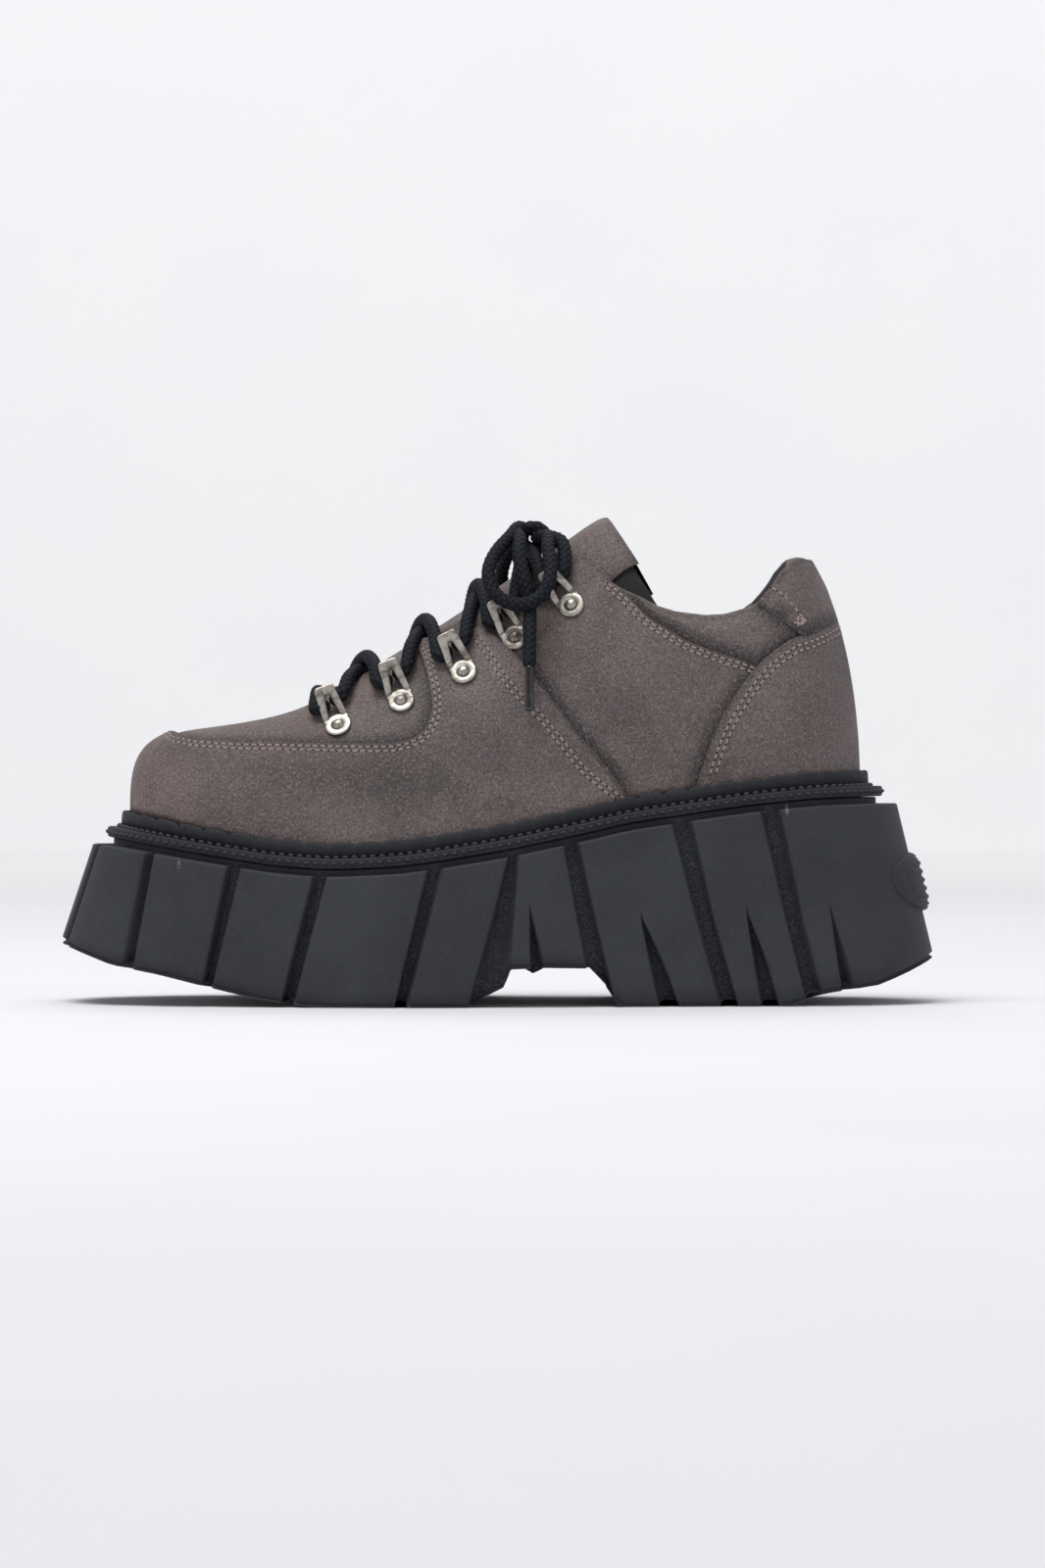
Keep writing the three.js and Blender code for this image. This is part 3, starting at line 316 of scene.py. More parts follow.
class Shape:
    """Points, faces and per-point numbers that gather into one mesh."""

    def __init__(self):
        self.points = []
        self.faces = []
        self.numbers = {}
        self.count = 0

    def grid(self, points, wrap=False, flip=False, **numbers):
        points = np.asarray(points, float)
        rows, columns = points.shape[:2]
        self.faces.append(grid_faces(rows, columns, wrap, flip, self.count))
        self.add_points(points.reshape(-1, 3), numbers)

    def add(self, points, faces, **numbers):
        self.faces.append(np.asarray(faces) + self.count)
        self.add_points(np.asarray(points, float), numbers)

    def add_points(self, points, numbers):
        n = len(points)
        for name in sorted(set(self.numbers) | set(numbers)):
            if name not in self.numbers:
                self.numbers[name] = [np.zeros(self.count)] if self.count else []
            value = np.asarray(numbers.get(name, 0.0), float)
            self.numbers[name].append(np.broadcast_to(value.reshape(-1) if value.ndim else value, n).copy())
        self.points.append(points)
        self.count += n


def piece(name, shape, material, nodes=(), merge=0.0, stage=False, close=False):
    """Make the mesh in metres, give it its material and hide the solids it stands for."""
    mesh = bpy.data.meshes.new(name)
    points = (np.concatenate(shape.points) + SHIFT) / 1000
    faces = [f for block in shape.faces for f in block.tolist()]
    mesh.from_pydata(points.tolist(), [], faces)
    for key, blocks in shape.numbers.items():
        values = np.concatenate(blocks).astype(np.float32)
        mesh.attributes.new(key, "FLOAT", "POINT").data.foreach_set("value", values)
    mesh.shade_smooth()
    mesh.materials.append(material)
    thing = bpy.data.objects.new(name, mesh)
    bpy.context.scene.collection.objects.link(thing)
    if merge:
        work = bmesh.new()
        work.from_mesh(mesh)
        bmesh.ops.remove_doubles(work, verts=work.verts, dist=merge / 1000)
        if close:
            bmesh.ops.holes_fill(work, edges=[e for e in work.edges if e.is_boundary], sides=0)
        bmesh.ops.recalc_face_normals(work, faces=work.faces)
        work.to_mesh(mesh)
        work.free()
    if stage:
        return thing
    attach(thing, "root")
    if nodes:
        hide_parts(*nodes)
    triangles = sum(len(p.vertices) - 2 for p in mesh.polygons)
    print(f"{name}: {triangles} triangles")
    return thing


# %% [markdown]
# ## Shader sums as Python
# A material here is arithmetic on sockets. A small class wraps a socket, so that an expression
# such as 1 - mask adds its Math node, and one method makes any other node.

# %% Sockets and finishes
class Wire:
    """A node's output that can be used in sums."""

    def __init__(self, finish, socket):
        self.finish = finish
        self.socket = socket

    def math(self, operation, *others):
        values = dict(enumerate((self, *others)))
        return self.finish.node("ShaderNodeMath", {"operation": operation}, values)

    def turned(self, operation, other):
        return self.finish.node("ShaderNodeMath", {"operation": operation}, {0: other, 1: self})

    def __add__(self, other):
        return self.math("ADD", other)

    def __radd__(self, other):
        return self.turned("ADD", other)

    def __sub__(self, other):
        return self.math("SUBTRACT", other)

    def __rsub__(self, other):
        return self.turned("SUBTRACT", other)

    def __mul__(self, other):
        return self.math("MULTIPLY", other)

    def __pow__(self, other):
        return self.math("POWER", other)

    def vector(self, operation, other):
        return self.finish.node("ShaderNodeVectorMath", {"operation": operation}, {0: self, 1: other})

    def vector_length(self):
        return self.finish.node("ShaderNodeVectorMath", {"operation": "LENGTH"}, {0: self}, 1)

    def clamp(self):
        return self.math("MAXIMUM", 0.0).math("MINIMUM", 1.0)

    def step(self, low, high):
        """From 0 at low to 1 at high, level at both ends."""
        return self.finish.node(
            "ShaderNodeMapRange", {"interpolation_type": "SMOOTHSTEP"},
            {"Value": self, "From Min": low, "From Max": high, "To Min": 0.0, "To Max": 1.0},
        )


class Finish:
    """One material: a Principled shader whose plain sockets are set and whose others are linked."""

    def __init__(self, name, **plain):
        self.material = bpy.data.materials.new(name)
        self.material.use_nodes = True
        self.tree = self.material.node_tree
        self.shader = self.tree.nodes["Principled BSDF"]
        for key, value in plain.items():
            self.shader.inputs[key.replace("_", " ")].default_value = value

    def node(self, kind, settings=None, values=None, output=0):
        """Make a node, set it, give its sockets their values or links and return one output."""
        node = self.tree.nodes.new(kind)
        for key, value in (settings or {}).items():
            setattr(node, key, value)
        for key, value in (values or {}).items():
            if isinstance(value, Wire):
                self.tree.links.new(value.socket, node.inputs[key])
            else:
                node.inputs[key].default_value = value
        return Wire(self, node.outputs[output])

    def place(self):
        return self.node("ShaderNodeTexCoord", output=3)

    def number(self, name):
        """A per-point number that the mesh carries."""
        return self.node("ShaderNodeAttribute", {"attribute_name": name}, output=2)

    def noise(self, scale, detail=3.0, rough=0.5, warp=0.0):
        return self.node(
            "ShaderNodeTexNoise", {},
            {
                "Vector": self.place(), "Scale": scale, "Detail": detail,
                "Roughness": rough, "Distortion": warp,
            },
        )

    def cells(self, scale):
        return self.node("ShaderNodeTexVoronoi", {}, {"Vector": self.place(), "Scale": scale})

    def blend(self, first, second, share):
        """Mix two colours by a share."""
        first = (*first, 1.0) if isinstance(first, tuple) else first
        second = (*second, 1.0) if isinstance(second, tuple) else second
        return self.node(
            "ShaderNodeMix", {"data_type": "RGBA"}, {0: share, 6: first, 7: second}, 2,
        )

    def into(self, socket, wire):
        self.tree.links.new(wire.socket, self.shader.inputs[socket])

    def bump(self, height, depth, strength=1.0, under=None):
        """A Bump node: height in shares of depth, in metres."""
        values = {"Height": height, "Distance": depth, "Strength": strength}
        if under is not None:
            values["Normal"] = under
        return self.node("ShaderNodeBump", {}, values)


def srgb(r, g, b):
    """Screen colour, 0 to 255, as the light that a shader works with."""
    v = np.array([r, g, b]) / 255
    return tuple(float(c) for c in np.where(v <= 0.04045, v / 12.92, ((v + 0.055) / 1.055) ** 2.4))


# %% [markdown]
# ## Materials
# The upper is an oiled nubuck: brown-taupe, cloudy from handling, darker where it was burnished and where painted
# shade of the overlapping edges lies beside the seams, with a fine pebble. The sole is matt blue-black rubber.
# Both get their colour from layers of noise and from numbers that the meshes carry.

# %% Leather
LEATHER = srgb(100, 90, 89)
LEATHER_DARK = srgb(58, 52, 53)
LEATHER_WARM = srgb(121, 104, 99)
LEATHER_DARKEST = srgb(30, 26, 27)


def leather(name):
    """Mottled nubuck that is darker near its cut edges and where a per-point number says so: burnishing, clouds
    from handling and painted shade beside overlapping panel edges.
    """
    f = Finish(name, Roughness=0.66)
    f.shader.inputs["Specular IOR Level"].default_value = 0.3
    clouds = f.noise(22.0, 4.0, 0.62, warp=0.3).step(0.34, 0.66)
    warm = f.noise(13.0, 3.0, 0.5, warp=0.4).step(0.42, 0.64)
    rubbed = f.noise(55.0, 5.0, 0.7).step(0.5, 0.72)
    fleck = f.noise(1300.0, 4.0, 0.8)
    pebble = f.cells(700.0)
    base = f.blend(LEATHER, LEATHER_WARM, warm * 0.6)
    base = f.blend(base, LEATHER_DARK, clouds * 0.45)
    base = f.blend(base, srgb(134, 120, 116), rubbed * 0.22)
    edge = 1.0 - f.number("edge").step(0.0, 3.0)
    # painted shade: the per-point number adds the shade beside overlapping panel edges to the burnishing and
    # clouds, and the cut edges darken as burnished edges
    burn = (f.number("burn") + edge * 0.5).clamp()
    base = f.blend(base, LEATHER_DARKEST, burn * 0.9)
    base = f.blend(base, srgb(168, 154, 149), fleck.step(0.5, 0.68) * 0.4)
    base = f.blend(base, LEATHER_DARKEST, (1.0 - fleck.step(0.34, 0.52)) * 0.5)
    f.into("Base Color", base)
    f.into("Roughness", f.noise(60.0, 3.0) * 0.2 + 0.52 + clouds * 0.06)
    fine = f.noise(1500.0, 2.0, 0.6)
    soft = f.bump(f.noise(90.0, 3.0, 0.6), 0.0009, 0.6)
    f.into("Normal", f.bump(pebble * 0.6 + fine * 0.4, 0.0004, 0.9, soft))
    return f.material


leather_body = leather("leather_body")
leather_panel = leather("leather_panel")

# %% Rubber, thread, lace, metal and lining
# two pale grey speckled patches near the top of the toe and heel blocks on the near side
PALE_PATCHES = [(-0.1127, -0.052, 0.0505), (0.1028, -0.042, 0.0698)]
PALE_PATCH_SHARPNESS = (1000.0, 60.0, 300.0)


def rubber(name, colour):
    """Matt moulded rubber with fine speckle, paler speckle in its grooves, two pale speckled patches and a soft
    sheen. Painted shade darkens it where the number deep is high: in the grooves and between the heel pad's ribs.
    """
    f = Finish(name, Roughness=0.7)
    f.shader.inputs["Specular IOR Level"].default_value = 0.22
    speckle = f.noise(1200.0, 3.0, 0.75)
    broad = f.noise(26.0, 4.0, 0.65, warp=0.3)
    rough_floor = f.cells(900.0)
    base = f.blend(colour, tuple(c * 1.35 for c in colour), broad.step(0.35, 0.7))
    base = f.blend(base, tuple(c * 2.4 for c in colour), speckle.step(0.52, 0.72) * 0.34)
    # painted shade: the deeper a point lies in a groove, the darker the rubber
    sunk_in = f.number("deep").step(0.15, 1.0)
    base = f.blend(base, tuple(c * 0.45 for c in colour), sunk_in * 0.5)
    base = f.blend(base, tuple(c * 2.6 for c in colour), sunk_in * speckle.step(0.48, 0.6) * 0.45)
    for centre in PALE_PATCHES:
        gap = f.place().vector("SUBTRACT", centre).vector("MULTIPLY", PALE_PATCH_SHARPNESS).vector_length()
        base = f.blend(base, srgb(138, 140, 146), (1.0 - gap.step(0.2, 1.0)) * speckle.step(0.35, 0.6) * 0.7)
    f.into("Base Color", base)
    f.into("Roughness", 0.58 + broad * 0.2)
    pits = f.bump(rough_floor * sunk_in, 0.0006, 0.8)
    f.into("Normal", f.bump(speckle, 0.0002, 0.7, pits))
    return f.material


sole_rubber = rubber("sole_rubber", srgb(48, 50, 55))
welt_rubber = rubber("welt_rubber", srgb(38, 39, 43))


def plain(name, colour, rough, metallic=0.0, grain=0.0, scale=900.0):
    f = Finish(name, Roughness=rough, Metallic=metallic)
    n = f.noise(scale, 2.0, 0.6)
    f.into("Base Color", f.blend(colour, tuple(c * 0.55 for c in colour), n.step(0.3, 0.8) * 0.6))
    f.into("Normal", f.bump(n, 0.0001, grain))
    return f.material


thread = plain("thread", srgb(160, 142, 136), 0.75, grain=0.6)
# painted shade: the colour of the needle holes
needle_hole = plain("needle_hole", srgb(26, 22, 23), 0.9, grain=0.4)
black_thread = plain("black_thread", srgb(25, 25, 29), 0.6, grain=0.5)
lining = plain("lining", srgb(30, 29, 31), 0.9, grain=0.8, scale=1500.0)


def braid(name):
    """Black lace: the number rise is high on each strand of the braid and low between strands. The colour follows
    it: painted shade near black between the strands and a painted highlight on their tops.
    """
    f = Finish(name, Roughness=0.75)
    f.shader.inputs["Specular IOR Level"].default_value = 0.2
    rise = f.number("rise")
    fibre = f.noise(2600.0, 2.0, 0.6)
    # painted shade between the strands and a painted highlight on the strand tops
    base = f.blend(srgb(1, 1, 2), srgb(34, 38, 49), rise ** 1.9)
    base = f.blend(base, srgb(44, 48, 58), fibre.step(0.55, 0.8) * 0.25)
    f.into("Base Color", base)
    f.into("Normal", f.bump(fibre, 0.00012, 0.6))
    return f.material


lace_braid = braid("lace_braid")


def nickel(name):
    """Old nickel with patchy tarnish, bright on the raised places. Painted shade makes it brown-black where the
    number deep is high: in its hollows, on its underside, round the slot and along the fold.
    """
    f = Finish(name, Metallic=1.0)
    stain = f.noise(260.0, 4.0, 0.6, warp=0.6)
    wear = f.noise(90.0, 2.0)
    base = f.blend(srgb(176, 171, 162), srgb(100, 94, 85), stain.step(0.42, 0.72))
    # painted shade in the loop's hollows and under it
    base = f.blend(base, srgb(34, 30, 26), (f.number("deep") * 0.85).clamp())
    f.into("Base Color", base)
    f.into("Roughness", 0.26 + stain * 0.22 + wear * 0.1)
    f.into("Normal", f.bump(f.noise(700.0, 3.0, 0.6), 0.00008, 0.5))
    return f.material


loop_nickel = nickel("loop_nickel")


def gloss(name):
    f = Finish(name, Roughness=0.16)
    f.shader.inputs["Coat Weight"].default_value = 0.6
    f.into("Base Color", f.blend(srgb(14, 14, 17), srgb(34, 34, 38), f.noise(400.0).step(0.4, 0.7)))
    return f.material


aglet_plastic = gloss("aglet_plastic")

# %% [markdown]
# ## The lace
# The lace crosses over the tongue and ends in a bow. Its centre line is a smooth curve
# through chosen points that stay close to the solids, and a round section is carried along it.
# The braid is real relief: two sets of strands wind round the cord in opposite directions, and
# each point stands as high as the strand that is on top there.

# %% Cords along a path
LACE = 5.2


def smooth_path(points, spacing=0.5):
    """A curve through all points: cubic pieces with end slopes from the neighbouring points."""
    p = np.asarray(points, float)
    p = np.concatenate([[2 * p[0] - p[1]], p, [2 * p[-1] - p[-2]]])
    gap = np.linalg.norm(np.diff(p, axis=0), axis=1) ** 0.5
    d0, d1, d2 = gap[:-2, None], gap[1:-1, None], gap[2:, None]
    p0, p1, p2, p3 = p[:-3], p[1:-2], p[2:-1], p[3:]
    m1 = ((p1 - p0) / d0 - (p2 - p0) / (d0 + d1) + (p2 - p1) / d1) * d1
    m2 = ((p2 - p1) / d1 - (p3 - p1) / (d1 + d2) + (p3 - p2) / d2) * d1
    t = np.linspace(0, 1, 60, endpoint=False)[:, None, None]
    curve = (
        (2 * t ** 3 - 3 * t ** 2 + 1) * p1 + (t ** 3 - 2 * t ** 2 + t) * m1
        + (3 * t ** 2 - 2 * t ** 3) * p2 + (t ** 3 - t ** 2) * m2
    )
    curve = np.concatenate([curve.transpose(1, 0, 2).reshape(-1, 3), p[-2:-1]])
    return even(curve, spacing)


def even(curve, spacing):
    """The same curve with its points a constant distance apart."""
    far = np.concatenate([[0], np.cumsum(np.linalg.norm(np.diff(curve, axis=0), axis=1))])
    n = max(3, int(round(far[-1] / spacing)) + 1)
    s = np.linspace(0, far[-1], n)
    return np.stack([np.interp(s, far, curve[:, k]) for k in range(3)], 1)


def path_length(path):
    return float(np.linalg.norm(np.diff(path, axis=0), axis=1).sum())


def carried_frames(path):
    """The tangent of a path and two directions across it that turn with it and never twist."""
    tangent = np.gradient(path, axis=0)
    tangent /= np.linalg.norm(tangent, axis=1, keepdims=True)
    side = np.empty_like(path)
    start = np.cross(tangent[0], [0.3, 0.2, 1.0])
    side[0] = start / np.linalg.norm(start)
    for i in range(1, len(path)):
        v = side[i - 1] - tangent[i] * (side[i - 1] @ tangent[i])
        side[i] = v / np.linalg.norm(v)
    return tangent, side, np.cross(tangent, side)


def braid_rise(turn, along):
    """Height of an over-and-under braid: two sets of strands, and the one on top at each crossing rises."""
    strands = 5.0
    pitch = 6.4
    p = strands * turn + along / pitch * strands / 2
    q = strands * turn - along / pitch * strands / 2
    over = (np.floor(p) + np.floor(q)) % 2
    across_p = np.abs(np.sin(np.pi * p))
    across_q = np.abs(np.sin(np.pi * q))
    p_high = across_p * (0.35 + 0.65 * across_q ** 0.5)
    q_high = across_q * (0.35 + 0.65 * across_p ** 0.5)
    return np.where(over > 0.5, p_high, q_high)


def cord_shape(path, diameter=LACE, around=28, relief=0.45):
    """A closed braided tube along a path, with its ends rounded in."""
    tangent, side, up = carried_frames(path)
    n = len(path)
    turn = np.arange(around) / around
    along = np.arange(n)[:, None] * path_length(path) / (n - 1)
    rise = braid_rise(turn[None, :], along)
    radius = diameter / 2 - relief + relief * rise
    ends = np.minimum(np.arange(n), np.arange(n)[::-1]) * path_length(path) / (n - 1)
    radius = radius * np.sqrt(np.clip(1 - (1 - np.clip(ends / (diameter / 2), 0, 1)) ** 2, 0, 1))[:, None]
    angle = 2 * np.pi * turn
    ring = np.cos(angle)[None, :, None] * side[:, None, :] + np.sin(angle)[None, :, None] * up[:, None, :]
    points = path[:, None, :] + ring * radius[..., None]
    shape = Shape()
    shape.grid(points, wrap=True, rise=rise)
    return shape


# %% Height of the last between its two round ends
def half_width(x, side):
    reach = -lateral_share(upper_at(x)) if side < 0 else medial_share(upper_at(x))
    return np.abs(reach * BALL - spine(x))


def surface_y(x, z, side, k):
    """Distance from the middle line at which the layer k reaches a height."""
    at = upper_at(x)
    low = seat(x)
    h = np.clip((z - low) / (crest(x) + k - low), 0, 1)
    out = (1 - h ** roof_power(at)) ** (1 / side_power(at))
    return spine(x) + side * (half_width(x, side) + k) * out


def surface_z(x, y, k):
    """Height of the layer k over a place in plan."""
    at = upper_at(x)
    low = seat(x)
    side = np.where(y < spine(x), -1, 1)
    width = np.where(side < 0, half_width(x, -1), half_width(x, 1)) + k
    out = np.clip(np.abs(y - spine(x)) / width, 0, 1)
    share = (1 - out ** side_power(at)) ** (1 / roof_power(at))
    return low + (crest(x) + k - low) * share


# %% The bow
KNOT_X = upper_x(0.5535)
KNOT = np.array([KNOT_X, spine(KNOT_X), crest(KNOT_X) + 8.6])
KNOT_AXES = np.array([1.1, 1.3, 0.9]) * 5.5
OVERLAY_OUT = 1.5


def from_knot(points, side):
    return KNOT + np.asarray(points, float) * [1, side, 1]


def knot_exit(direction):
    """Two points out of the knot's surface in a direction."""
    direction = np.asarray(direction, float)
    on = direction / np.linalg.norm(direction / KNOT_AXES)
    normal = on / KNOT_AXES ** 2
    normal /= np.linalg.norm(normal)
    return [on + normal * 0.15, on + normal * 3.5]


BOW_LOOP = [
    *knot_exit([-2.4, 3.5, 2.0]), [-7.2, 12.4, 1.2], [-13.2, 21.4, -5.4], [-16.6, 29.0, -14.4],
    [-13.4, 31.8, -22.2], [-5.2, 33.0, -25.6], [3.0, 31.8, -22.2], [6.2, 28.6, -14.2], [5.0, 18.5, -3.6],
    *knot_exit([2.4, 4, 0.4])[::-1],
]
BOW_END = [*knot_exit([-3.2, 4.5, 0.8]), [-5, 16.5, -1], [-5.2, 23.4, -6.6], [-3.4, 27.6, -15]]
END_DROP = 48.0
END_CLEAR = 4.2
INNER_LOOP_LEAN = 0.16


def lay(z, side):
    x = KNOT_X - 1.5
    return [x, float(surface_y(x, z, side, OVERLAY_OUT)) + side * (LACE / 2 + END_CLEAR), z]


def lace_piece(name, shape, nodes=()):
    return piece(name, shape, lace_braid, nodes, merge=0.002)


def relaxed(path, turns=90):
    """The same path with its sharpest bends opened by moving each point towards its neighbours."""
    for _ in range(turns):
        path = np.concatenate([path[:1], 0.25 * path[:-2] + 0.5 * path[1:-1] + 0.25 * path[2:], path[-1:]])
    return path


for side, side_name, share in ((-1, "lateral", 1.0), (1, "medial", 0.9)):
    leaning = np.array(BOW_LOOP)
    if side > 0:
        leaning[:, 0] += INNER_LOOP_LEAN * leaning[:, 1]
    path = relaxed(smooth_path(from_knot(leaning, side)))
    loop = lace_piece(f"bow_loop_{side_name}", cord_shape(path), [f"lace_loop_{side_name}"])
    first = KNOT[2] - 24
    low = KNOT[2] - END_DROP * share
    route = [*from_knot(BOW_END, side), lay(first, side), lay(mix(first, low, 0.5), side), lay(low, side)]
    path = smooth_path(route)
    end = lace_piece(f"bow_end_{side_name}", cord_shape(path), [f"lace_end_{side_name}"])
    tip = smooth_path([lay(low + 1, side), lay(low - 7, side), lay(low - 15.3, side)], 0.5)
    tip_turn = np.linspace(0, 2 * np.pi, 24, endpoint=False)
    far = np.arange(len(tip)) * path_length(tip) / (len(tip) - 1)
    tip_radius = 1.6 * np.sqrt(np.clip(1 - (1 - np.clip(far[::-1] / 0.6, 0, 1)) ** 2, 0, 1))
    tip_radius *= np.sqrt(np.clip(1 - (1 - np.clip(far / 0.6, 0, 1)) ** 2, 0, 1))
    _, across, above = carried_frames(tip)
    ring = np.cos(tip_turn)[None, :, None] * across[:, None, :]
    ring = ring + np.sin(tip_turn)[None, :, None] * above[:, None, :]
    aglet = Shape()
    aglet.grid(tip[:, None, :] + ring * tip_radius[:, None, None], wrap=True)
    aglet_piece = piece(
        f"lace_tip_{side_name}", aglet, aglet_plastic, [f"aglet_{side_name}"], merge=0.002,
    )
    print(side_name, "end", round(path_length(path), 1), "mm")

# %% [markdown]
# ## The lugged sole
# The sole is one moulded piece of nine blocks with deep grooves between them. It is one grid:
# rows go down the wall and under the sole to its middle, and columns follow the slanting edges of
# the blocks, so each edge stays crisp. A point on a block is on the outer form. A point in a
# groove has sunk to the core, and close to an edge it sinks along a quarter circle.

# %% Outer form and core of the sole
EDGE = 1.1
TREAD = np.array([
    [0, 0.41, 0.47], [0.02, 0.37, 0.42], [0.065, 0.275, 0.33], [0.119, 0.215, 0.265], [0.169, 0.143, 0.19],
    [0.231, 0.055, 0.1], [0.273, 0.016, 0.064], [0.31, 0, 0.048], [0.476, 0, 0.048], [0.511, 0.255, 0.15],
    [0.555, 0.265, 0.28], [0.602, 0.26, 0.275], [0.638, 0, 0.048], [0.828, 0, 0.048],
    [0.872, 0.088, 0.14], [0.932, 0.14, 0.19], [0.96, 0.205, 0.25], [1, 0.31, 0.36],
]).T


def tread(x):
    return PLATFORM * np.interp(x / SOLE_LENGTH + 0.5, TREAD[0], TREAD[1])


def core_floor(x):
    return PLATFORM * np.interp(x / SOLE_LENGTH + 0.5, TREAD[0], TREAD[2])


def grown(nx, side, toe, heel):
    """An offset that grows from the sides to the toe and to the heel with the square of the outward x."""
    return mix(side, np.where(nx < 0, toe, heel), nx ** 2)


NX = OUTWARD[:, 0]
RAND_IN = 1.8
RAND_OUT = 4.3
RAND_TOP = 4.6
WELT_OUT = RAND_OUT + grown(NX, 3.7, 5.2, 5.2)
LUG_TOP = WELT_OUT + grown(NX, 2.6, 5.6, 5.6)
LUG_FOOT = LUG_TOP + grown(NX, 4.5, 10.7, 12.6)
SEAT_LINE = seat(LINE[:, 2])


def ring_at(offset, height):
    """The foot line moved outwards by an offset, at a height that is given or worked out from the place."""
    xy = LINE[:, 2:] + OUTWARD * np.broadcast_to(offset, len(WALK))[:, None]
    z = height(xy[:, 0]) if callable(height) else height
    return np.concatenate([xy, np.broadcast_to(z, len(WALK))[:, None]], 1)


def arc(t):
    return np.sin(t * np.pi / 2), 1 - np.cos(t * np.pi / 2)


shoulder = SEAT_LINE - 6.6
outer_rows = []
core_rows = []
core_high = ring_at(WELT_OUT - 2 * EDGE, shoulder)
core_low = ring_at(LUG_FOOT - 6, core_floor)
for t in np.linspace(0, 1, 6):
    out, down = arc(t)
    outer_rows.append(ring_at(LUG_TOP - EDGE + EDGE * out, shoulder - EDGE * down))
    core_rows.append(core_high + [0, 0, -EDGE * down])
foot = ring_at(LUG_FOOT, lambda x: tread(x) + 2 * EDGE)
for t in np.linspace(0, 1, 14)[1:]:
    outer_rows.append(mix(outer_rows[5], foot, t))
    core_rows.append(mix(core_rows[5], core_low + [0, 0, 2 * EDGE], t))
for t in np.linspace(0, 1, 6)[1:]:
    out, down = arc(1 - t)
    height = 2 * EDGE * (1 - np.sin(t * np.pi / 2))
    outer_rows.append(ring_at(LUG_FOOT - 2 * EDGE * down, lambda x: tread(x) + height))
    core_rows.append(core_low + [0, 0, 2 * EDGE * (1 - t)])
WALL_ROWS = len(outer_rows)
edge_ring = outer_rows[-1]
for share in (0.96, 0.88, 0.74, 0.58, 0.42, 0.26, 0.12, 0.0):
    xy = mix(LINE[:, :2], edge_ring[:, :2], share)
    outer_rows.append(np.concatenate([xy, tread(xy[:, 0])[:, None]], 1))
    core_xy = mix(LINE[:, :2], core_low[:, :2], share)
    core_rows.append(np.concatenate([xy, core_floor(core_xy[:, 0])[:, None]], 1))
OUTER = np.stack(outer_rows)
CORE = np.stack(core_rows)
print("sole rows", len(OUTER))

# %% Edges of the blocks
BAND = 30.0
TOE_GROOVES = (-16.5, 21.5)
TOE_GROOVE_HALF = 1.9
BLOCKS = [
    ([-0.2, -0.21, -0.2], [0.1054, 0.0868, 0.0681]),
    ([0.1155, 0.0984, 0.0812], [0.2041, 0.1844, 0.1646]),
    ([0.22, 0.1975, 0.1748], [0.305, 0.2812, 0.2576]),
    ([0.3204, 0.2959, 0.2715], [0.4319, 0.4089, 0.386]),
    ([0.4483, 0.424, 0.3999], [0.5189, 0.4948, 0.4679]),
    ([0.5262, 0.5189, 0.5116], [0.5737, 0.5913, 0.6088]),
    ([0.5902, 0.611, 0.634], [0.7009, 0.7251, 0.7514]),
    ([0.7229, 0.7437, 0.7711], [0.804, 0.826, 0.8501]),
    ([0.8249, 0.8446, 0.8698], [1.2, 1.21, 1.2]),
]
CLAWS = {5: (0.5364, 36.6, 0.543, 0.5584), 6: (0.6604, 33.1, 0.6834, 0.702),
         7: (0.7799, 34.5, 0.7985, 0.815), 8: (0.8742, 36.6, 0.8939, 0.9049)}


def slant(shares):
    """Place of a block's edge at a height: straight from 0 over BAND to twice BAND, and beyond."""
    x = sole_x(np.array(shares[::-1]))

    def at(z):
        z = np.asarray(z)
        below = x[0] + (x[1] - x[0]) * z / BAND
        above = x[1] + (x[2] - x[1]) * (z - BAND) / BAND
        return np.where(z < BAND, below, above)

    return at


def claw_edge(claw, rear):
    """One edge of a pointed cut: from its tip down to the floor with a bend near half way."""
    tip = sole_x(claw[0])
    foot_x = sole_x(claw[3]) + 0.8 if rear else sole_x(claw[2]) - 0.4
    bend = mix(tip, sole_x(claw[3] if rear else claw[2]), 0.6) + (0.6 if rear else -0.6)
    return lambda z: np.interp(z, [0, claw[1] * 0.45, claw[1]], [foot_x, bend, tip])


def crossings(edge, side):
    """Where each wall row meets an edge, as a distance along the foot line, on one side."""
    part = np.flatnonzero(WALK <= TOE_AT) if side < 0 else np.flatnonzero(WALK >= TOE_AT)
    found = []
    for row in OUTER[:WALL_ROWS]:
        gap = row[part, 0] - edge(row[part, 2])
        turn = np.flatnonzero(np.sign(gap[:-1]) != np.sign(gap[1:]))
        i = turn[0] if len(turn) else 0
        t = gap[i] / (gap[i] - gap[i + 1] + 1e-12)
        found.append(WALK[part[i]] + STEP * np.clip(t, 0, 1))
    return np.array(found)


def toe_cut(y):
    """Where each wall row passes a distance from the middle line round the front of the toe."""
    part = np.flatnonzero(np.abs(WALK - TOE_AT) < 75)
    return np.array([np.interp(y, row[part, 1], WALK[part]) for row in OUTER[:WALL_ROWS]])


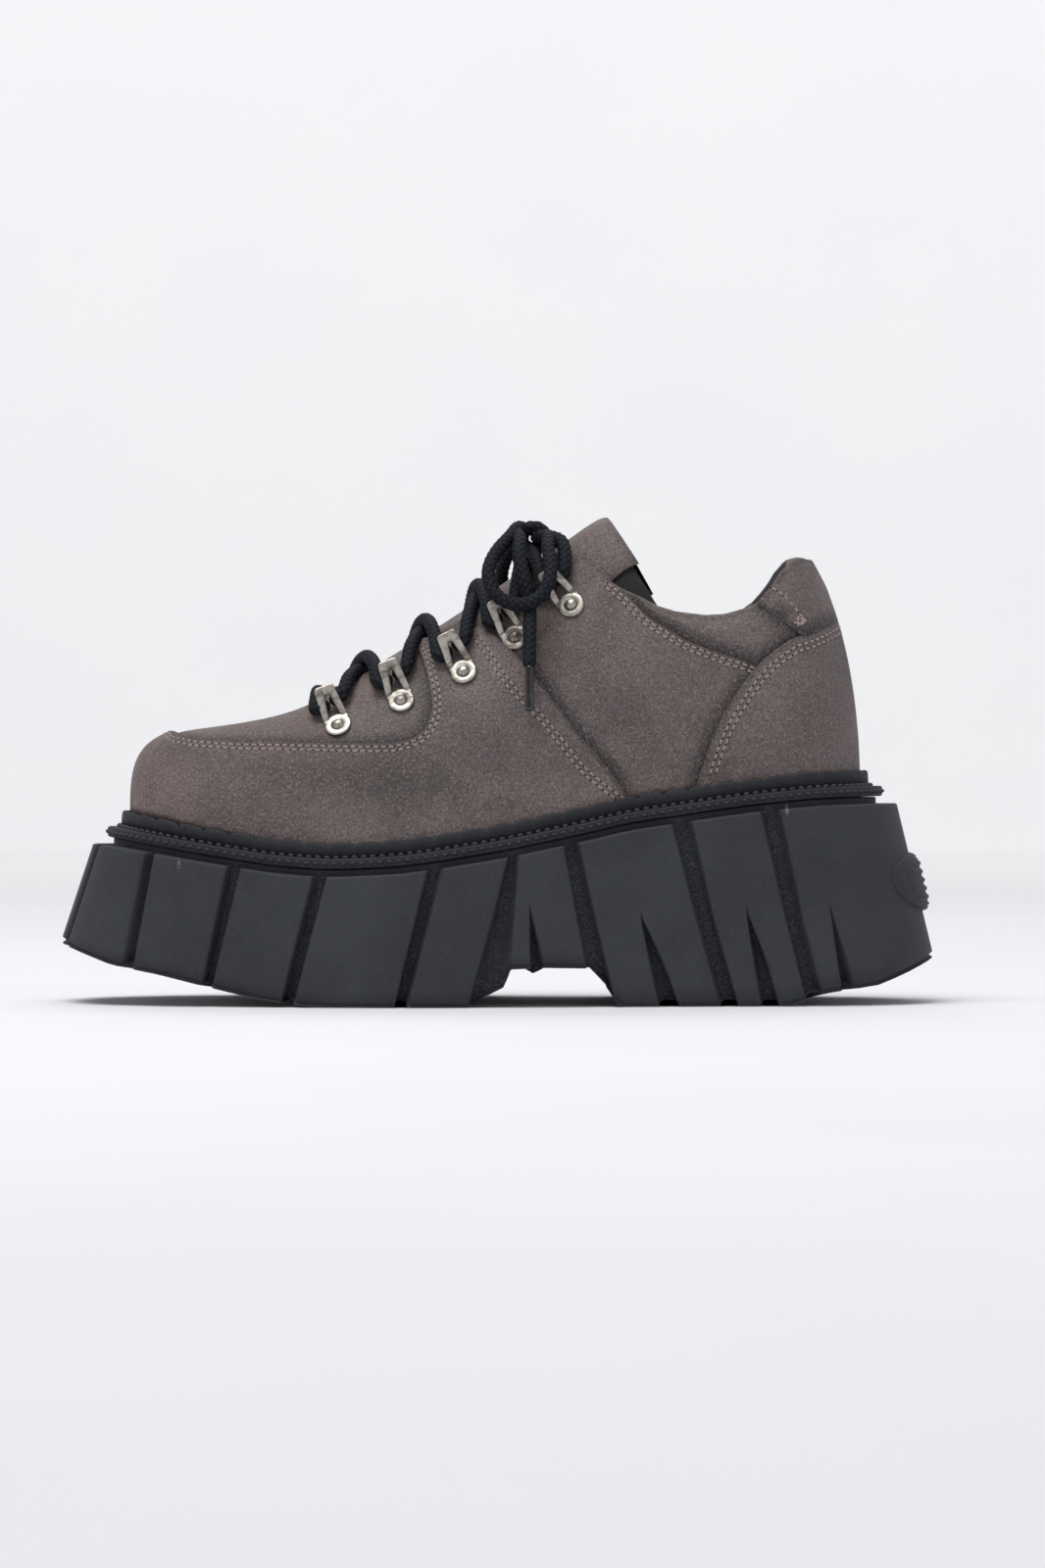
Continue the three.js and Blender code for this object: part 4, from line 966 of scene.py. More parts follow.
keys = []
for index in range(len(BLOCKS) - 1, -1, -1):
    front, rear = BLOCKS[index]
    if index < len(BLOCKS) - 1:
        keys.append(("block", crossings(slant(rear), -1)))
    if index in CLAWS:
        keys.append(("claw", crossings(claw_edge(CLAWS[index], True), -1)))
        keys.append(("block", crossings(claw_edge(CLAWS[index], False), -1)))
    if index:
        keys.append(("groove", crossings(slant(front), -1)))
for middle in TOE_GROOVES:
    keys.append(("groove", toe_cut(middle - TOE_GROOVE_HALF)))
    keys.append(("block", toe_cut(middle + TOE_GROOVE_HALF)))
for index in range(len(BLOCKS)):
    front, rear = BLOCKS[index]
    if index:
        keys.append(("block", crossings(slant(front), 1)))
    if index in CLAWS:
        keys.append(("claw", crossings(claw_edge(CLAWS[index], False), 1)))
        keys.append(("block", crossings(claw_edge(CLAWS[index], True), 1)))
    if index < len(BLOCKS) - 1:
        keys.append(("groove", crossings(slant(rear), 1)))
keys = [("block", np.zeros(WALL_ROWS)), *keys, ("end", np.full(WALL_ROWS, AROUND))]
print("edges round the sole", len(keys) - 2)

# %% The grid of the sole
INSETS = np.array([0.0, 0.12, 0.3, 0.6, 1.1])


def sole_columns():
    """Distances and sinking of all columns: fine steps beside each edge and wide ones between."""
    places, sinks = [], []
    for number, ((kind, left), (_, right)) in enumerate(zip(keys[:-1], keys[1:])):
        width = right - left
        scale = np.clip(width / 5.0, 0.02, 1)
        drop = 1.0 - np.sqrt(1 - (1 - INSETS / EDGE) ** 2)
        if kind == "block":
            first = number == 0
            last = number == len(keys) - 2
            cut_left = np.ones_like(width)
            cut_right = np.ones_like(width)
            if number and keys[number - 1][0] == "claw":
                cut_left = np.clip((left - keys[number - 1][1]) / 2.5, 0, 1)
            if not last and keys[number + 1][0] == "claw":
                cut_right = np.clip((keys[number + 2][1] - right) / 2.5, 0, 1)
            if not first:
                for inset, d in zip(INSETS, drop):
                    places.append(left + inset * scale)
                    sinks.append((EDGE * d * cut_left, 0 * width))
            for t in np.linspace(0, 1, 8)[(0 if first else 1):-1]:
                places.append(mix(left + 1.4 * scale * (not first), right - 1.4 * scale * (not last), t))
                sinks.append((0 * width, 0 * width))
            if not last:
                for inset, d in zip(INSETS[::-1], drop[::-1]):
                    places.append(right - inset * scale)
                    sinks.append((EDGE * d * cut_right, 0 * width))
        else:
            full = np.clip(width / 2.5, 0, 1) if kind == "claw" else np.ones_like(width)
            for share, depth in ((0.06, 0.55), (0.16, 0.97), (0.5, 1.0), (0.84, 0.97), (0.94, 0.55)):
                places.append(mix(left, right, share))
                sinks.append((0 * width, depth * full))
    return np.array(places).T, np.array([s[0] for s in sinks]).T, np.array([s[1] for s in sinks]).T


columns, dropped, sunk = sole_columns()
more = len(OUTER) - WALL_ROWS
columns, dropped, sunk = (np.concatenate([v, np.repeat(v[-1:], more, 0)]) for v in (columns, dropped, sunk))
closed = np.concatenate([WALK, [AROUND]])


def along_row(rows, places):
    """Points of each row at its own distances."""
    full = np.concatenate([rows, rows[:, :1]], 1)
    return np.stack([
        np.stack([np.interp(places[r], closed, full[r, :, k]) for k in range(3)], 1) for r in range(len(rows))
    ])


outer_grid = along_row(OUTER, columns)
core_grid = along_row(CORE, columns)
depth = np.linalg.norm(core_grid - outer_grid, axis=-1) + 1e-6
share = np.clip(dropped / depth + sunk, 0, 1)
sole_grid = mix(outer_grid, core_grid, share[..., None])
top_ring = [
    along_row(ring_at(offset, SEAT_LINE + lift)[None], columns[:1])
    for offset, lift in ((-6.0, -4.3), (WELT_OUT - 2.6, -4.3), (WELT_OUT - 2.2, -4.7), (WELT_OUT - 2.2, -6.6))
]
middle_ring = along_row(np.concatenate([LINE[:, :2], seat(LINE[:, 0])[:, None] - 4.3], 1)[None], columns[:1])
sole_grid = np.concatenate([middle_ring, *top_ring, sole_grid])
# how far each point has sunk into a groove, which the rubber turns into painted shade
deep = np.concatenate([np.zeros((5, columns.shape[1])), sunk])
sole = Shape()
sole.grid(sole_grid, wrap=True, flip=True, deep=deep)


def middle_seam(row):
    """Triangles that join the two halves of a row that lies on the middle line, from heel to toe."""
    x = sole_grid[row, :, 0]
    left, right = 0, len(x) - 1
    faces = []
    while right - left > 1:
        if x[left + 1] > x[right - 1]:
            faces.append((left, left + 1, right))
            left += 1
        else:
            faces.append((left, right - 1, right))
            right -= 1
    return np.array(faces) + row * len(x)


sole.faces += [middle_seam(0), middle_seam(len(sole_grid) - 1)]
piece("lug_sole", sole, sole_rubber, ["outsole"], merge=0.002)

# %% [markdown]
# ## Welt and rand
# A flange runs round the sole, with a rand standing on it that hides the foot of the leather. Both
# are a profile carried along the foot line. The rand's upper edge is scalloped, and two rows of
# heavy black stitches run beside it.

# %% Profiles round the shoe
def carried(profile, wave=None):
    """Rows of a profile, each an offset and a height above the foot line, all the way round."""
    rows = []
    for offset, lift in profile:
        waved = 0 if wave is None else wave * max(0.0, lift - 3) / 2.4
        rows.append(ring_at(offset, SEAT_LINE + lift + waved))
    return np.stack(rows)


def rounded(corners, radius, steps=5):
    """A profile with each corner turned into a quarter circle."""
    out = []
    for (x0, y0), (x1, y1), (x2, y2) in zip(corners[:-2], corners[1:-1], corners[2:]):
        a = np.array([x0 - x1, y0 - y1])
        b = np.array([x2 - x1, y2 - y1])
        a = a / np.linalg.norm(a) * radius
        b = b / np.linalg.norm(b) * radius
        for t in np.linspace(0, 1, steps):
            w = (1 - t) ** 2, 2 * t * (1 - t), t ** 2
            out.append((x1 + w[0] * a[0] + w[2] * b[0], y1 + w[0] * a[1] + w[2] * b[1]))
    return [corners[0], *out, corners[-1]]


def from_ring(profile, base):
    return [(base + x, y) for x, y in profile]


welt_profile = from_ring(rounded([(-12.0, -0.3), (0.0, -0.3), (0.0, -4.0), (-12.0, -4.0)], 0.9), WELT_OUT)
welt = Shape()
rows = carried(welt_profile)
welt.grid(np.concatenate([rows, rows[:1]]), wrap=True, flip=True)
piece("stitched_welt", welt, welt_rubber, ["welt"], merge=0.002)

SCALLOP = 9.1
beat = np.mod(WALK / SCALLOP, 1.0)
notch = smooth_step(0.84, 0.95, beat) * (1 - smooth_step(0.985, 1.0, beat))
wave = 1.2 * np.sin(np.pi * beat) ** 0.5 - 1.4 * notch
rand_profile = rounded([(RAND_IN, 0.0), (RAND_IN, RAND_TOP), (RAND_OUT, RAND_TOP), (4.6, 0.0)], 1.0)
rand = Shape()
rows = carried(rand_profile, wave)
rand.grid(np.concatenate([rows, rows[:1]]), wrap=True, flip=True)
piece("scalloped_rand", rand, welt_rubber, ["rand"], merge=0.002)


def stitches(shape, path, normal, length, width, height, pitch, start=0.0):
    """Small rounded stitches along a path: each is a few rings of an ellipse, squeezed at both ends."""
    far = np.concatenate([[0], np.cumsum(np.linalg.norm(np.diff(path, axis=0), axis=1))])
    n = int((far[-1] - 2 * start) / pitch)
    centre = start + (far[-1] - 2 * start - (n - 1) * pitch) / 2 + np.arange(n) * pitch

    def at(s, table):
        return np.stack([np.interp(s, far, table[:, k]) for k in range(3)], 1)

    middle = at(centre, path)
    along = at(centre + length / 2, path) - at(centre - length / 2, path)
    along /= np.linalg.norm(along, axis=1, keepdims=True)
    out = at(centre, normal)
    out -= along * (out * along).sum(1, keepdims=True)
    out /= np.linalg.norm(out, axis=1, keepdims=True)
    side = np.cross(along, out)
    u = np.linspace(-1, 1, 5)
    size = np.sqrt(np.clip(1 - u ** 4, 0.03, 1))
    turn = np.linspace(0, 2 * np.pi, 6, endpoint=False)
    rise = height * (np.sin(turn)[None, :] * size[:, None])
    wide = width / 2 * np.cos(turn)[None, :] * size[:, None]
    lengthwise = np.broadcast_to(u[:, None] * length / 2, rise.shape)
    local = np.stack([lengthwise, wide, rise - 0.35 * height * (np.abs(u) ** 2)[:, None]], -1).reshape(-1, 3)
    frames = np.stack([along, side, out], 1)
    points = middle[:, None, :] + np.einsum("pk,nkc->npc", local, frames)
    base = grid_faces(5, 6, wrap=True)
    caps = np.array([[0, 1, 2, 3], [0, 3, 4, 5], [27, 26, 25, 24], [29, 28, 27, 24]])
    faces = np.concatenate([base, caps])
    every = (faces[None] + (np.arange(n) * 30)[:, None, None]).reshape(-1, 4)
    shape.add(points.reshape(-1, 3), every)
    return n


welt_stitches = Shape()
closed_line = np.concatenate([np.arange(len(WALK)), [0]])
upper_row = ring_at(RAND_OUT + 0.9, SEAT_LINE - 0.2)[closed_line]
up_normal = np.tile([0.0, 0.0, 1.0], (len(closed_line), 1))
outward3 = np.concatenate([OUTWARD, np.zeros((len(WALK), 1))], 1)[closed_line]
count = stitches(welt_stitches, upper_row, outward3 * 0.7 + up_normal * 0.7, 3.1, 1.9, 1.15, 3.3)
lower_row = ring_at(WELT_OUT + 0.05, SEAT_LINE - 2.1)[closed_line]
count += stitches(welt_stitches, lower_row, outward3, 2.9, 1.5, 0.8, 3.3)
piece("welt_stitches", welt_stitches, black_thread, merge=0.001)
print("welt stitches", count)

# %% [markdown]
# ## Leather panels
# A panel is cut from flat leather and pulled over the last. In the script it is a patch between a
# lower and an upper curve on the last. Its rows crowd towards the cut edges at fixed distances in
# millimetres, so the edge is a small quarter circle with a wall under it, however large the panel.

# %% A panel between two curves
FINE = np.array([0.0, 0.1, 0.3, 0.6, 1.0, 1.6])
ROUND = 0.6


def arc_length(points):
    return np.concatenate([[0], np.cumsum(np.linalg.norm(np.diff(points, axis=0), axis=1))])


def evenly(curve, n):
    """n points of a curve on the last, evenly spaced as they lie in space."""
    far = arc_length(last_point(curve[:, 0], curve[:, 1], 0.0))
    s = np.linspace(0, far[-1], n)
    return np.stack([np.interp(s, far, curve[:, k]) for k in range(2)], 1)


def side_curve(points, side):
    """Side-view points (x, z) as distances along the foot line and angles."""
    points = np.asarray(points, float)
    return np.stack(on_side(points[:, 0], points[:, 1], side), 1)


class Panel:
    """A leather panel: a grid on the last with distances to its cut edges."""

    def __init__(self, lower, upper, across=90, up=30, ends=(True, True), top=True):
        sl = arc_length(last_point(lower[:, 0], lower[:, 1], 0.0))
        su = arc_length(last_point(upper[:, 0], upper[:, 1], 0.0))
        t = np.linspace(0, 1, across)
        near = FINE[:-1]
        self.from_start = np.concatenate([near, FINE[-1] + t * 1e3])
        ends_at = []
        for s, curve in ((sl, lower), (su, upper)):
            share = np.linspace(0, 1, len(s))
            first = np.interp(FINE[-1], s, share) if ends[0] else 0.0
            final = np.interp(s[-1] - FINE[-1], s, share) if ends[1] else 1.0
            u = mix(first, final, t)
            if ends[0]:
                u = np.concatenate([np.interp(near, s, share), u])
            if ends[1]:
                u = np.concatenate([u, np.interp(s[-1] - near[::-1], s, share)])
            ends_at.append(np.stack([np.interp(u, share, curve[:, k]) for k in range(2)], 1))
        low, high = ends_at
        n = len(low)
        start = np.full(n, 99.0)
        if ends[0]:
            start[: len(FINE)] = FINE
        if ends[1]:
            start[n - len(FINE):] = np.minimum(start[n - len(FINE):], FINE[::-1])
        self.start = start
        shares = np.linspace(0, 1, 24)[:, None]
        line = last_point(mix(low[:, 0], high[:, 0], shares), mix(low[:, 1], high[:, 1], shares), 0.0)
        self.length = np.linalg.norm(np.diff(line, axis=0), axis=2).sum(0)
        self.low, self.high = low, high
        rows = np.linspace(0, 1, up)[:, None] * np.ones((1, n))
        if top:
            most = self.length[None, :] * np.linspace(0.9, 0.0, len(FINE))[:, None]
            inset = np.minimum(FINE[::-1][:, None], most)
            body = np.linspace(0, 1, up)[:-1, None] * (1 - inset[0] / self.length)[None, :]
            rows = np.concatenate([body, 1 - inset / self.length[None, :]])
        self.rows = rows
        self.edge = np.minimum((1 - rows) * self.length[None, :] if top else 99.0, start[None, :])
        self.a = mix(low[None, :, 0], high[None, :, 0], rows)
        self.phi = mix(low[None, :, 1], high[None, :, 1], rows)
        self.top, self.ends = top, ends

    def points(self, out, bed):
        """The panel's outer face with rounded edges, and walls down to its bed."""
        inside = np.clip(1 - self.edge / ROUND, 0, 1)
        k = out - ROUND * (1 - np.sqrt(1 - inside ** 2))
        a, phi, edge = (np.pad(v, 1, mode="edge") for v in (self.a, self.phi, self.edge))
        return last_point(a, phi, np.pad(k, 1, constant_values=bed)), edge

    def back(self, bed):
        """The face that lies on the bed."""
        return last_point(self.a, self.phi, bed)

    def row(self, inset, out):
        """The curve that runs at a distance below the upper edge."""
        v = 1 - inset / self.length
        a, phi = mix(self.low[:, 0], self.high[:, 0], v), mix(self.low[:, 1], self.high[:, 1], v)
        return last_point(a, phi, out), last_point(a, phi, out + 1) - last_point(a, phi, out)

    def column(self, inset, out, end):
        """The curve that runs at a distance inside one end, from below upwards."""
        low, high = (self.low, self.high) if end == 0 else (self.low[::-1], self.high[::-1])
        ends_at = []
        for curve in (low, high):
            s = arc_length(last_point(curve[:, 0], curve[:, 1], 0.0))
            ends_at.append([np.interp(inset, s, curve[:, k]) for k in range(2)])
        v = np.linspace(0, 1, 160)
        a, phi = mix(ends_at[0][0], ends_at[1][0], v), mix(ends_at[0][1], ends_at[1][1], v)
        return last_point(a, phi, out), last_point(a, phi, out + 1) - last_point(a, phi, out)


# %% Seams in side view
def table_points(rows):
    return np.array([[upper_x(at), up_z(up)] for at, up in rows])


APRON_EDGE = table_points([
    (0.047, 0.378), (0.067, 0.346), (0.094, 0.335), (0.147, 0.328), (0.334, 0.325), (0.361, 0.326),
    (0.381, 0.335), (0.401, 0.358), (0.411, 0.397), (0.414, 0.44),
    (0.41, 0.497), (0.403, 0.554), (0.391, 0.625),
])
REAR_EDGE = table_points([
    (0.477, 0.666), (0.494, 0.618), (0.521, 0.533), (0.538, 0.487), (0.574, 0.411), (0.601, 0.34),
    (0.627, 0.272), (0.654, 0.224), (0.685, 0.176),
])
TOPLINE = table_points([
    (0.617, 0.909), (0.637, 0.857), (0.659, 0.809), (0.682, 0.782), (0.702, 0.762), (0.722, 0.738),
    (0.749, 0.719), (0.789, 0.708), (0.816, 0.712), (0.842, 0.729), (0.856, 0.749), (0.869, 0.78),
    (0.883, 0.817), (0.892, 0.846), (0.909, 0.88), (0.923, 0.889),
])
COUNTER_EDGE = table_points([
    (0.775, 0.213), (0.784, 0.27), (0.793, 0.327), (0.808, 0.398), (0.826, 0.463), (0.844, 0.517),
    (0.859, 0.554), (0.882, 0.597), (0.908, 0.634), (0.924, 0.645), (0.948, 0.668), (0.969, 0.694),
])
TAB_EDGE = table_points([(0.86, 0.755), (0.876, 0.749), (0.896, 0.712), (0.912, 0.669), (0.925, 0.646)])
COLLAR_SEAM = np.array([
    [40.4, 151.3], [46.4, 146.0], [53.3, 138.7], [60.3, 134.2], [67.3, 130.0], [74.3, 127.2],
    [81.2, 124.7], [88.2, 122.6], [92.8, 120.9],
])


def smooth_side(points, n=60):
    """A side-view curve through its points, with n even steps."""
    path = smooth_path(np.concatenate([points, np.zeros((len(points), 1))], 1), 0.4)
    s = np.linspace(0, len(path) - 1, n)
    return np.stack([np.interp(s, np.arange(len(path)), path[:, k]) for k in range(2)], 1)


# %% The rim of the upper: collar and throat
THROAT_FRONT = upper_x(0.236)
THROAT_HALF = 8.5
THROAT_START = THROAT_FRONT + THROAT_HALF
TONGUE_TOP_X = upper_x(0.647)


def throat_half(x):
    """Half width of the throat: a round front end, then slowly wider towards the top."""
    wide = mix(8.5, 17.0, np.clip((x - THROAT_FRONT) / (TONGUE_TOP_X - THROAT_FRONT), 0, 1))
    front = np.sqrt(np.clip(THROAT_HALF ** 2 - (THROAT_START - x) ** 2, 0, None))
    return np.where(x < THROAT_START, np.minimum(front, wide), wide)


def throat_phi(a):
    return solve_phi(a, lambda p: throat_half(p[..., 0]) - np.abs(p[..., 1] - spine(p[..., 0])))


def topline_z(x):
    ahead = TOPLINE[0, 1] + (TOPLINE[0, 0] - x) * 4.0
    line = np.where(x < TOPLINE[0, 0], ahead, np.interp(x, TOPLINE[:, 0], TOPLINE[:, 1]))
    return line - mix(0.9, 2.5, smooth_step(38, 46, x))


def collar_phi(a):
    return solve_phi(a, lambda p: p[..., 2] - topline_z(p[..., 0]))


def soft_least(a, b, width):
    """The smaller of two values, with the corner between them rounded."""
    h = np.clip(0.5 + 0.5 * (b - a) / width, 0, 1)
    return mix(b, a, h) - width * h * (1 - h)


def rim(a):
    a = np.atleast_1d(np.asarray(a, float))
    throat, collar = throat_phi(a), collar_phi(a)
    x = station(a)[0]
    throat = np.where(x > upper_x(0.68), np.pi / 2, throat)
    return np.where(x < THROAT_FRONT, np.pi / 2, soft_least(throat, collar, 0.05))


def rim_curve(x_from, x_to, side, n=80):
    a = side_walk(np.linspace(x_from, x_to, n), side)
    return np.stack([a, rim(a)], 1)


# %% Cutting the panels
def foot_curve(x_from, x_to, side, n):
    a = side_walk(np.linspace(x_from, x_to, n), side)
    return np.stack([a, np.full(n, 0.02)], 1)


def apron_phi(a):
    low_table = APRON_EDGE[:8]
    return solve_phi(a, lambda p: p[..., 2] - np.interp(p[..., 0], low_table[:, 0], low_table[:, 1]))


def mudguard_half(side):
    """Upper edge of the vamp panel from its rear corner to the toe, with the foot line under it."""
    rear_top = REAR_EDGE[0]
    tab_front = smooth_side(APRON_EDGE[6:], 40)[::-1]
    corner = tab_front[0]
    tab_top = np.stack([np.linspace(rear_top[0], corner[0], 24), np.linspace(rear_top[1], corner[1], 24)], 1)
    upper_side = np.concatenate([tab_top, tab_front[1:]])
    high = side_curve(upper_side, side)
    a_from = high[-1, 0]
    a_to = TOE_AT
    run = np.linspace(a_from, a_to, 120)[1:]
    high = np.concatenate([high, np.stack([run, apron_phi(run)], 1)])
    low_x = np.concatenate([
        np.linspace(upper_x(0.685), upper_x(0.6), 24), np.linspace(upper_x(0.6), upper_x(0.381), 40)[1:],
    ])
    on_a = np.linspace(side_walk(upper_x(0.381), side), a_to, 120)[1:]
    low_a = np.concatenate([side_walk(low_x, side), on_a])
    return np.stack([low_a, np.full(len(low_a), 0.02)], 1), high


def joined_halves(make):
    """A panel that goes round the toe: the outer half, then the inner half backwards."""
    (low_a, high_a), (low_b, high_b) = make(-1), make(1)
    return np.concatenate([low_a, low_b[::-1][1:]]), np.concatenate([high_a, high_b[::-1][1:]])


guard_low, guard_high = joined_halves(mudguard_half)
guard = Panel(guard_low, guard_high, across=420, up=34)



def counter_half(side):
    """Upper edge of the heel counter from its front foot to the middle of the heel."""
    edge = smooth_side(COUNTER_EDGE, 80)
    high = side_curve(edge, side)
    heel_a = 0.0 if side < 0 else AROUND
    run = np.linspace(high[-1, 0], heel_a, 30)[1:]
    z_end = edge[-1, 1]
    more = solve_phi(run, lambda p: p[..., 2] - (z_end + 0.4 * np.clip(p[..., 0] - edge[-1, 0], 0, 8)))
    high = np.concatenate([high, np.stack([run, more], 1)])
    foot_a = np.linspace(side_walk(COUNTER_EDGE[0, 0], side), heel_a, len(high))
    if side > 0:
        high[:, 0] = np.where(high[:, 0] < 1, high[:, 0] + AROUND, high[:, 0])
    return np.stack([foot_a, np.full(len(high), 0.02)], 1), high


def round_heel(make):
    """A panel that goes round the heel, with distances counted on past the start of the foot line."""
    (low_a, high_a), (low_b, high_b) = make(-1), make(1)
    low_a, high_a = low_a + [AROUND, 0], high_a + [AROUND, 0]
    return np.concatenate([low_b, low_a[::-1][1:]]), np.concatenate([high_b, high_a[::-1][1:]])


counter_low, counter_high = round_heel(counter_half)
counter = Panel(counter_low, counter_high, across=200, up=30)


def tab_half(side):
    """Heel tab: from the counter's edge up to the collar, behind its own front edge."""
    front = smooth_side(TAB_EDGE[::-1], 30)
    heel_a = 0.0 if side < 0 else AROUND
    top_a = side_curve([front[-1]], side)[0, 0]
    low_a = side_curve([front[0]], side)[0, 0]
    run_top = np.linspace(top_a, heel_a, 60)
    run_low = np.linspace(low_a, heel_a, 60)
    lift = solve_phi(
        run_low,
        lambda p: p[..., 2] - np.interp(p[..., 0], COUNTER_EDGE[:, 0], COUNTER_EDGE[:, 1]) + 1.5,
    )
    return np.stack([run_low, lift], 1), np.stack([run_top, rim(run_top) - 0.01], 1)


tab_low, tab_high = round_heel(tab_half)
tab = Panel(tab_low, tab_high, across=150, up=24)


def quarter_curves(side):
    """Quarter: under the vamp panel and the counter, along the throat, collar and seam above."""
    rim_part = rim_curve(-14.0, 40.0, side, 120)
    seam = side_curve(smooth_side(np.concatenate([COLLAR_SEAM, [[98.0, 118.5]]]), 90), side)
    high = np.concatenate([rim_part[:-1] - [0, 0.012], seam])
    low = foot_curve(38.0, 79.0, side, len(high))
    return (low, high) if side < 0 else (low[::-1], high[::-1])


quarters = [Panel(*quarter_curves(side), across=150, up=40, ends=(False, False)) for side in (-1, 1)]
print("panels cut")

# %% Burnishing and painted shade beside the seams
guard_edge, _ = guard.row(0.0, OVERLAY_OUT)
counter_edge, _ = counter.row(0.0, OVERLAY_OUT)
tab_sides = [tab.column(0.0, OVERLAY_OUT, end)[0] for end in (0, 1)]
guard_sides = [guard.column(0.0, OVERLAY_OUT, end)[0] for end in (0, 1)]
quarter_edges = [q.row(0.0, 0.6)[0] for q in quarters]


def nearness(points, curves, reach):
    """How near each point is to any of the curves: 1 on a curve, 0 at reach and beyond."""
    curve = np.concatenate([c[::2] for c in curves])
    flat = points.reshape(-1, 3)
    least = np.full(len(flat), 1e9)
    for start in range(0, len(flat), 4000):
        part = flat[start:start + 4000]
        gap = ((part[:, None, :] - curve[None, :, :]) ** 2).sum(-1)
        least[start:start + 4000] = gap.min(1)
    return (np.clip(1 - np.sqrt(least) / reach, 0, 1) ** 1.2).reshape(points.shape[:-1])


SMUDGES = np.array([
    [-38, 79, 34, 9, 0.42], [-70, 84, 26, 7, 0.2], [-2, 96, 16, 12, 0.25], [18, 122, 12, 16, 0.3],
    [52, 96, 22, 14, 0.14], [112, 104, 14, 16, 0.22], [-112, 92, 12, 5, 0.25], [40, 84, 30, 5, 0.2],
])


def smudged(points):
    """Dark clouds from handling: each row is a place in side view, two half sizes and a strength."""
    total = 0.0
    for x, z, wide, high, strength in SMUDGES:
        gap = ((points[..., 0] - x) / wide) ** 2 + ((points[..., 2] - z) / high) ** 2
        total = total + strength * np.exp(-gap)
    return total


def leather_piece(name, panel, out, bed, material, nodes=(), burnt_and_shaded_by=(), flip=False):
    points, edge = panel.points(out, bed)
    # painted shade and burnishing: points near the given seam curves are darkened, as in the shade of the edge
    # beside them
    burn = smudged(points) + (nearness(points, burnt_and_shaded_by, 5.5) ** 0.8 if burnt_and_shaded_by else 0.0)
    shape = Shape()
    shape.grid(points, flip=flip, edge=edge, burn=burn)
    shape.grid(panel.back(bed), flip=not flip, edge=99.0, burn=0.3)
    return piece(name, shape, material, nodes, merge=0.004)


leather_piece("vamp_panel", guard, OVERLAY_OUT, -0.3, leather_panel, ["mudguard"], flip=True)
leather_piece("counter_panel", counter, OVERLAY_OUT, -0.3, leather_panel, ["heel_counter"], flip=True)
leather_piece(
    "tab_panel", tab, OVERLAY_OUT, -0.6, leather_panel, ["heel_tab"],
    burnt_and_shaded_by=[counter_edge], flip=True,
)
for side_name, quarter in zip(("lateral", "medial"), quarters):
    leather_piece(
        f"quarter_{side_name}", quarter, 0.6, -0.8, leather_body,
        burnt_and_shaded_by=[guard_sides[0 if side_name == "lateral" else 1], counter_edge],
    )

# %% Rolled front edge of the heel tab
def rolled_edge(end):
    """A thin round edge along one end of the tab."""
    path = tab.column(0.2, OVERLAY_OUT - 0.3, end)[0]
    return cord_shape(even(path[6:-2], 0.5), diameter=1.7, around=12, relief=0.0)


binding = Shape()
for end in (0, 1):
    tube = rolled_edge(end)
    # the rolled edge is darkened as a burnished edge and as painted shade of the gap in front of it
    binding.add(tube.points[0], tube.faces[0], burn=0.25, edge=0.0)
piece("tab_binding", binding, leather_panel, merge=0.002)

# %% [markdown]
# ## The shell of the upper
# Under the overlays lies one shell: the apron over the toes, the padded collar, and the lining
# inside. Its grid runs round the foot line and up to the rim, turns over the rim in a half circle
# and goes down inside.

# %% Shell grid
marks = THROAT_START - THROAT_HALF * np.cos(np.linspace(0.02, np.pi / 2, 14))
side_x = np.unique(np.round(np.concatenate([
    np.arange(TOE_CENTRE, HEEL_CENTRE, 1.0), [HEEL_CENTRE], marks, np.linspace(24, 44, 40),
]), 4))
lateral_a, medial_a = side_walk(side_x[::-1], -1), side_walk(side_x, 1)
ring_a = np.concatenate([
    np.arange(0.0, lateral_a[0] - 0.3, 1.0), lateral_a,
    np.linspace(lateral_a[-1], medial_a[0], 90)[1:-1], medial_a,
    np.arange(medial_a[-1] + 0.7, AROUND - 0.5, 1.0),
])
rim_phi = rim(ring_a)
open_here = station(ring_a)[0] >= THROAT_FRONT


def collar_foot(a):
    """Angle of the seam under the padded collar, and how padded the rim is there."""
    x = station(a)[2]
    seam = np.concatenate([COLLAR_SEAM, COUNTER_EDGE[7:]])
    seam = seam[np.argsort(seam[:, 0])]
    phi = solve_phi(a, lambda p: p[..., 2] - np.interp(p[..., 0], seam[:, 0], seam[:, 1]))
    return phi, smooth_step(38, 46, x)


seam_phi, padded_share = collar_foot(ring_a)
rows_out = np.linspace(0, 1, 56)[:, None]
phi_out = rows_out * rim_phi[None, :]
a_out = np.broadcast_to(ring_a, phi_out.shape)
height_in_pad = np.clip((phi_out - seam_phi) / np.maximum(rim_phi - seam_phi, 0.05), 0, 1)
pad = padded_share * np.sin(np.pi * height_in_pad ** 0.8) ** 0.8 * 1.9
ROLL = mix(1.0, 2.6, padded_share)
k_out = pad - 0.4 * padded_share * (1 - height_in_pad)
outside = last_point(a_out, phi_out, k_out)
below = last_point(ring_a, rim_phi - 0.01, 0.0)
top = last_point(ring_a, rim_phi, 0.0)
rise = top - below
rise /= np.linalg.norm(rise, axis=1, keepdims=True) + 1e-9
inward = last_point(ring_a, rim_phi, -2.0) - top
inward[:, 2] *= 0.3
inward /= np.linalg.norm(inward, axis=1, keepdims=True) + 1e-9


def rolled(turns, more=0.0):
    """Rows over the rim: part of a circle about a line inside it, a little wider by more."""
    t = np.asarray(turns)
    t = t[:, None, None] if t.ndim == 1 else t[:, :, None]
    radius = (ROLL + more)[:, None]
    return top + ROLL[:, None] * inward + radius * (rise * np.sin(t) - inward * np.cos(t))


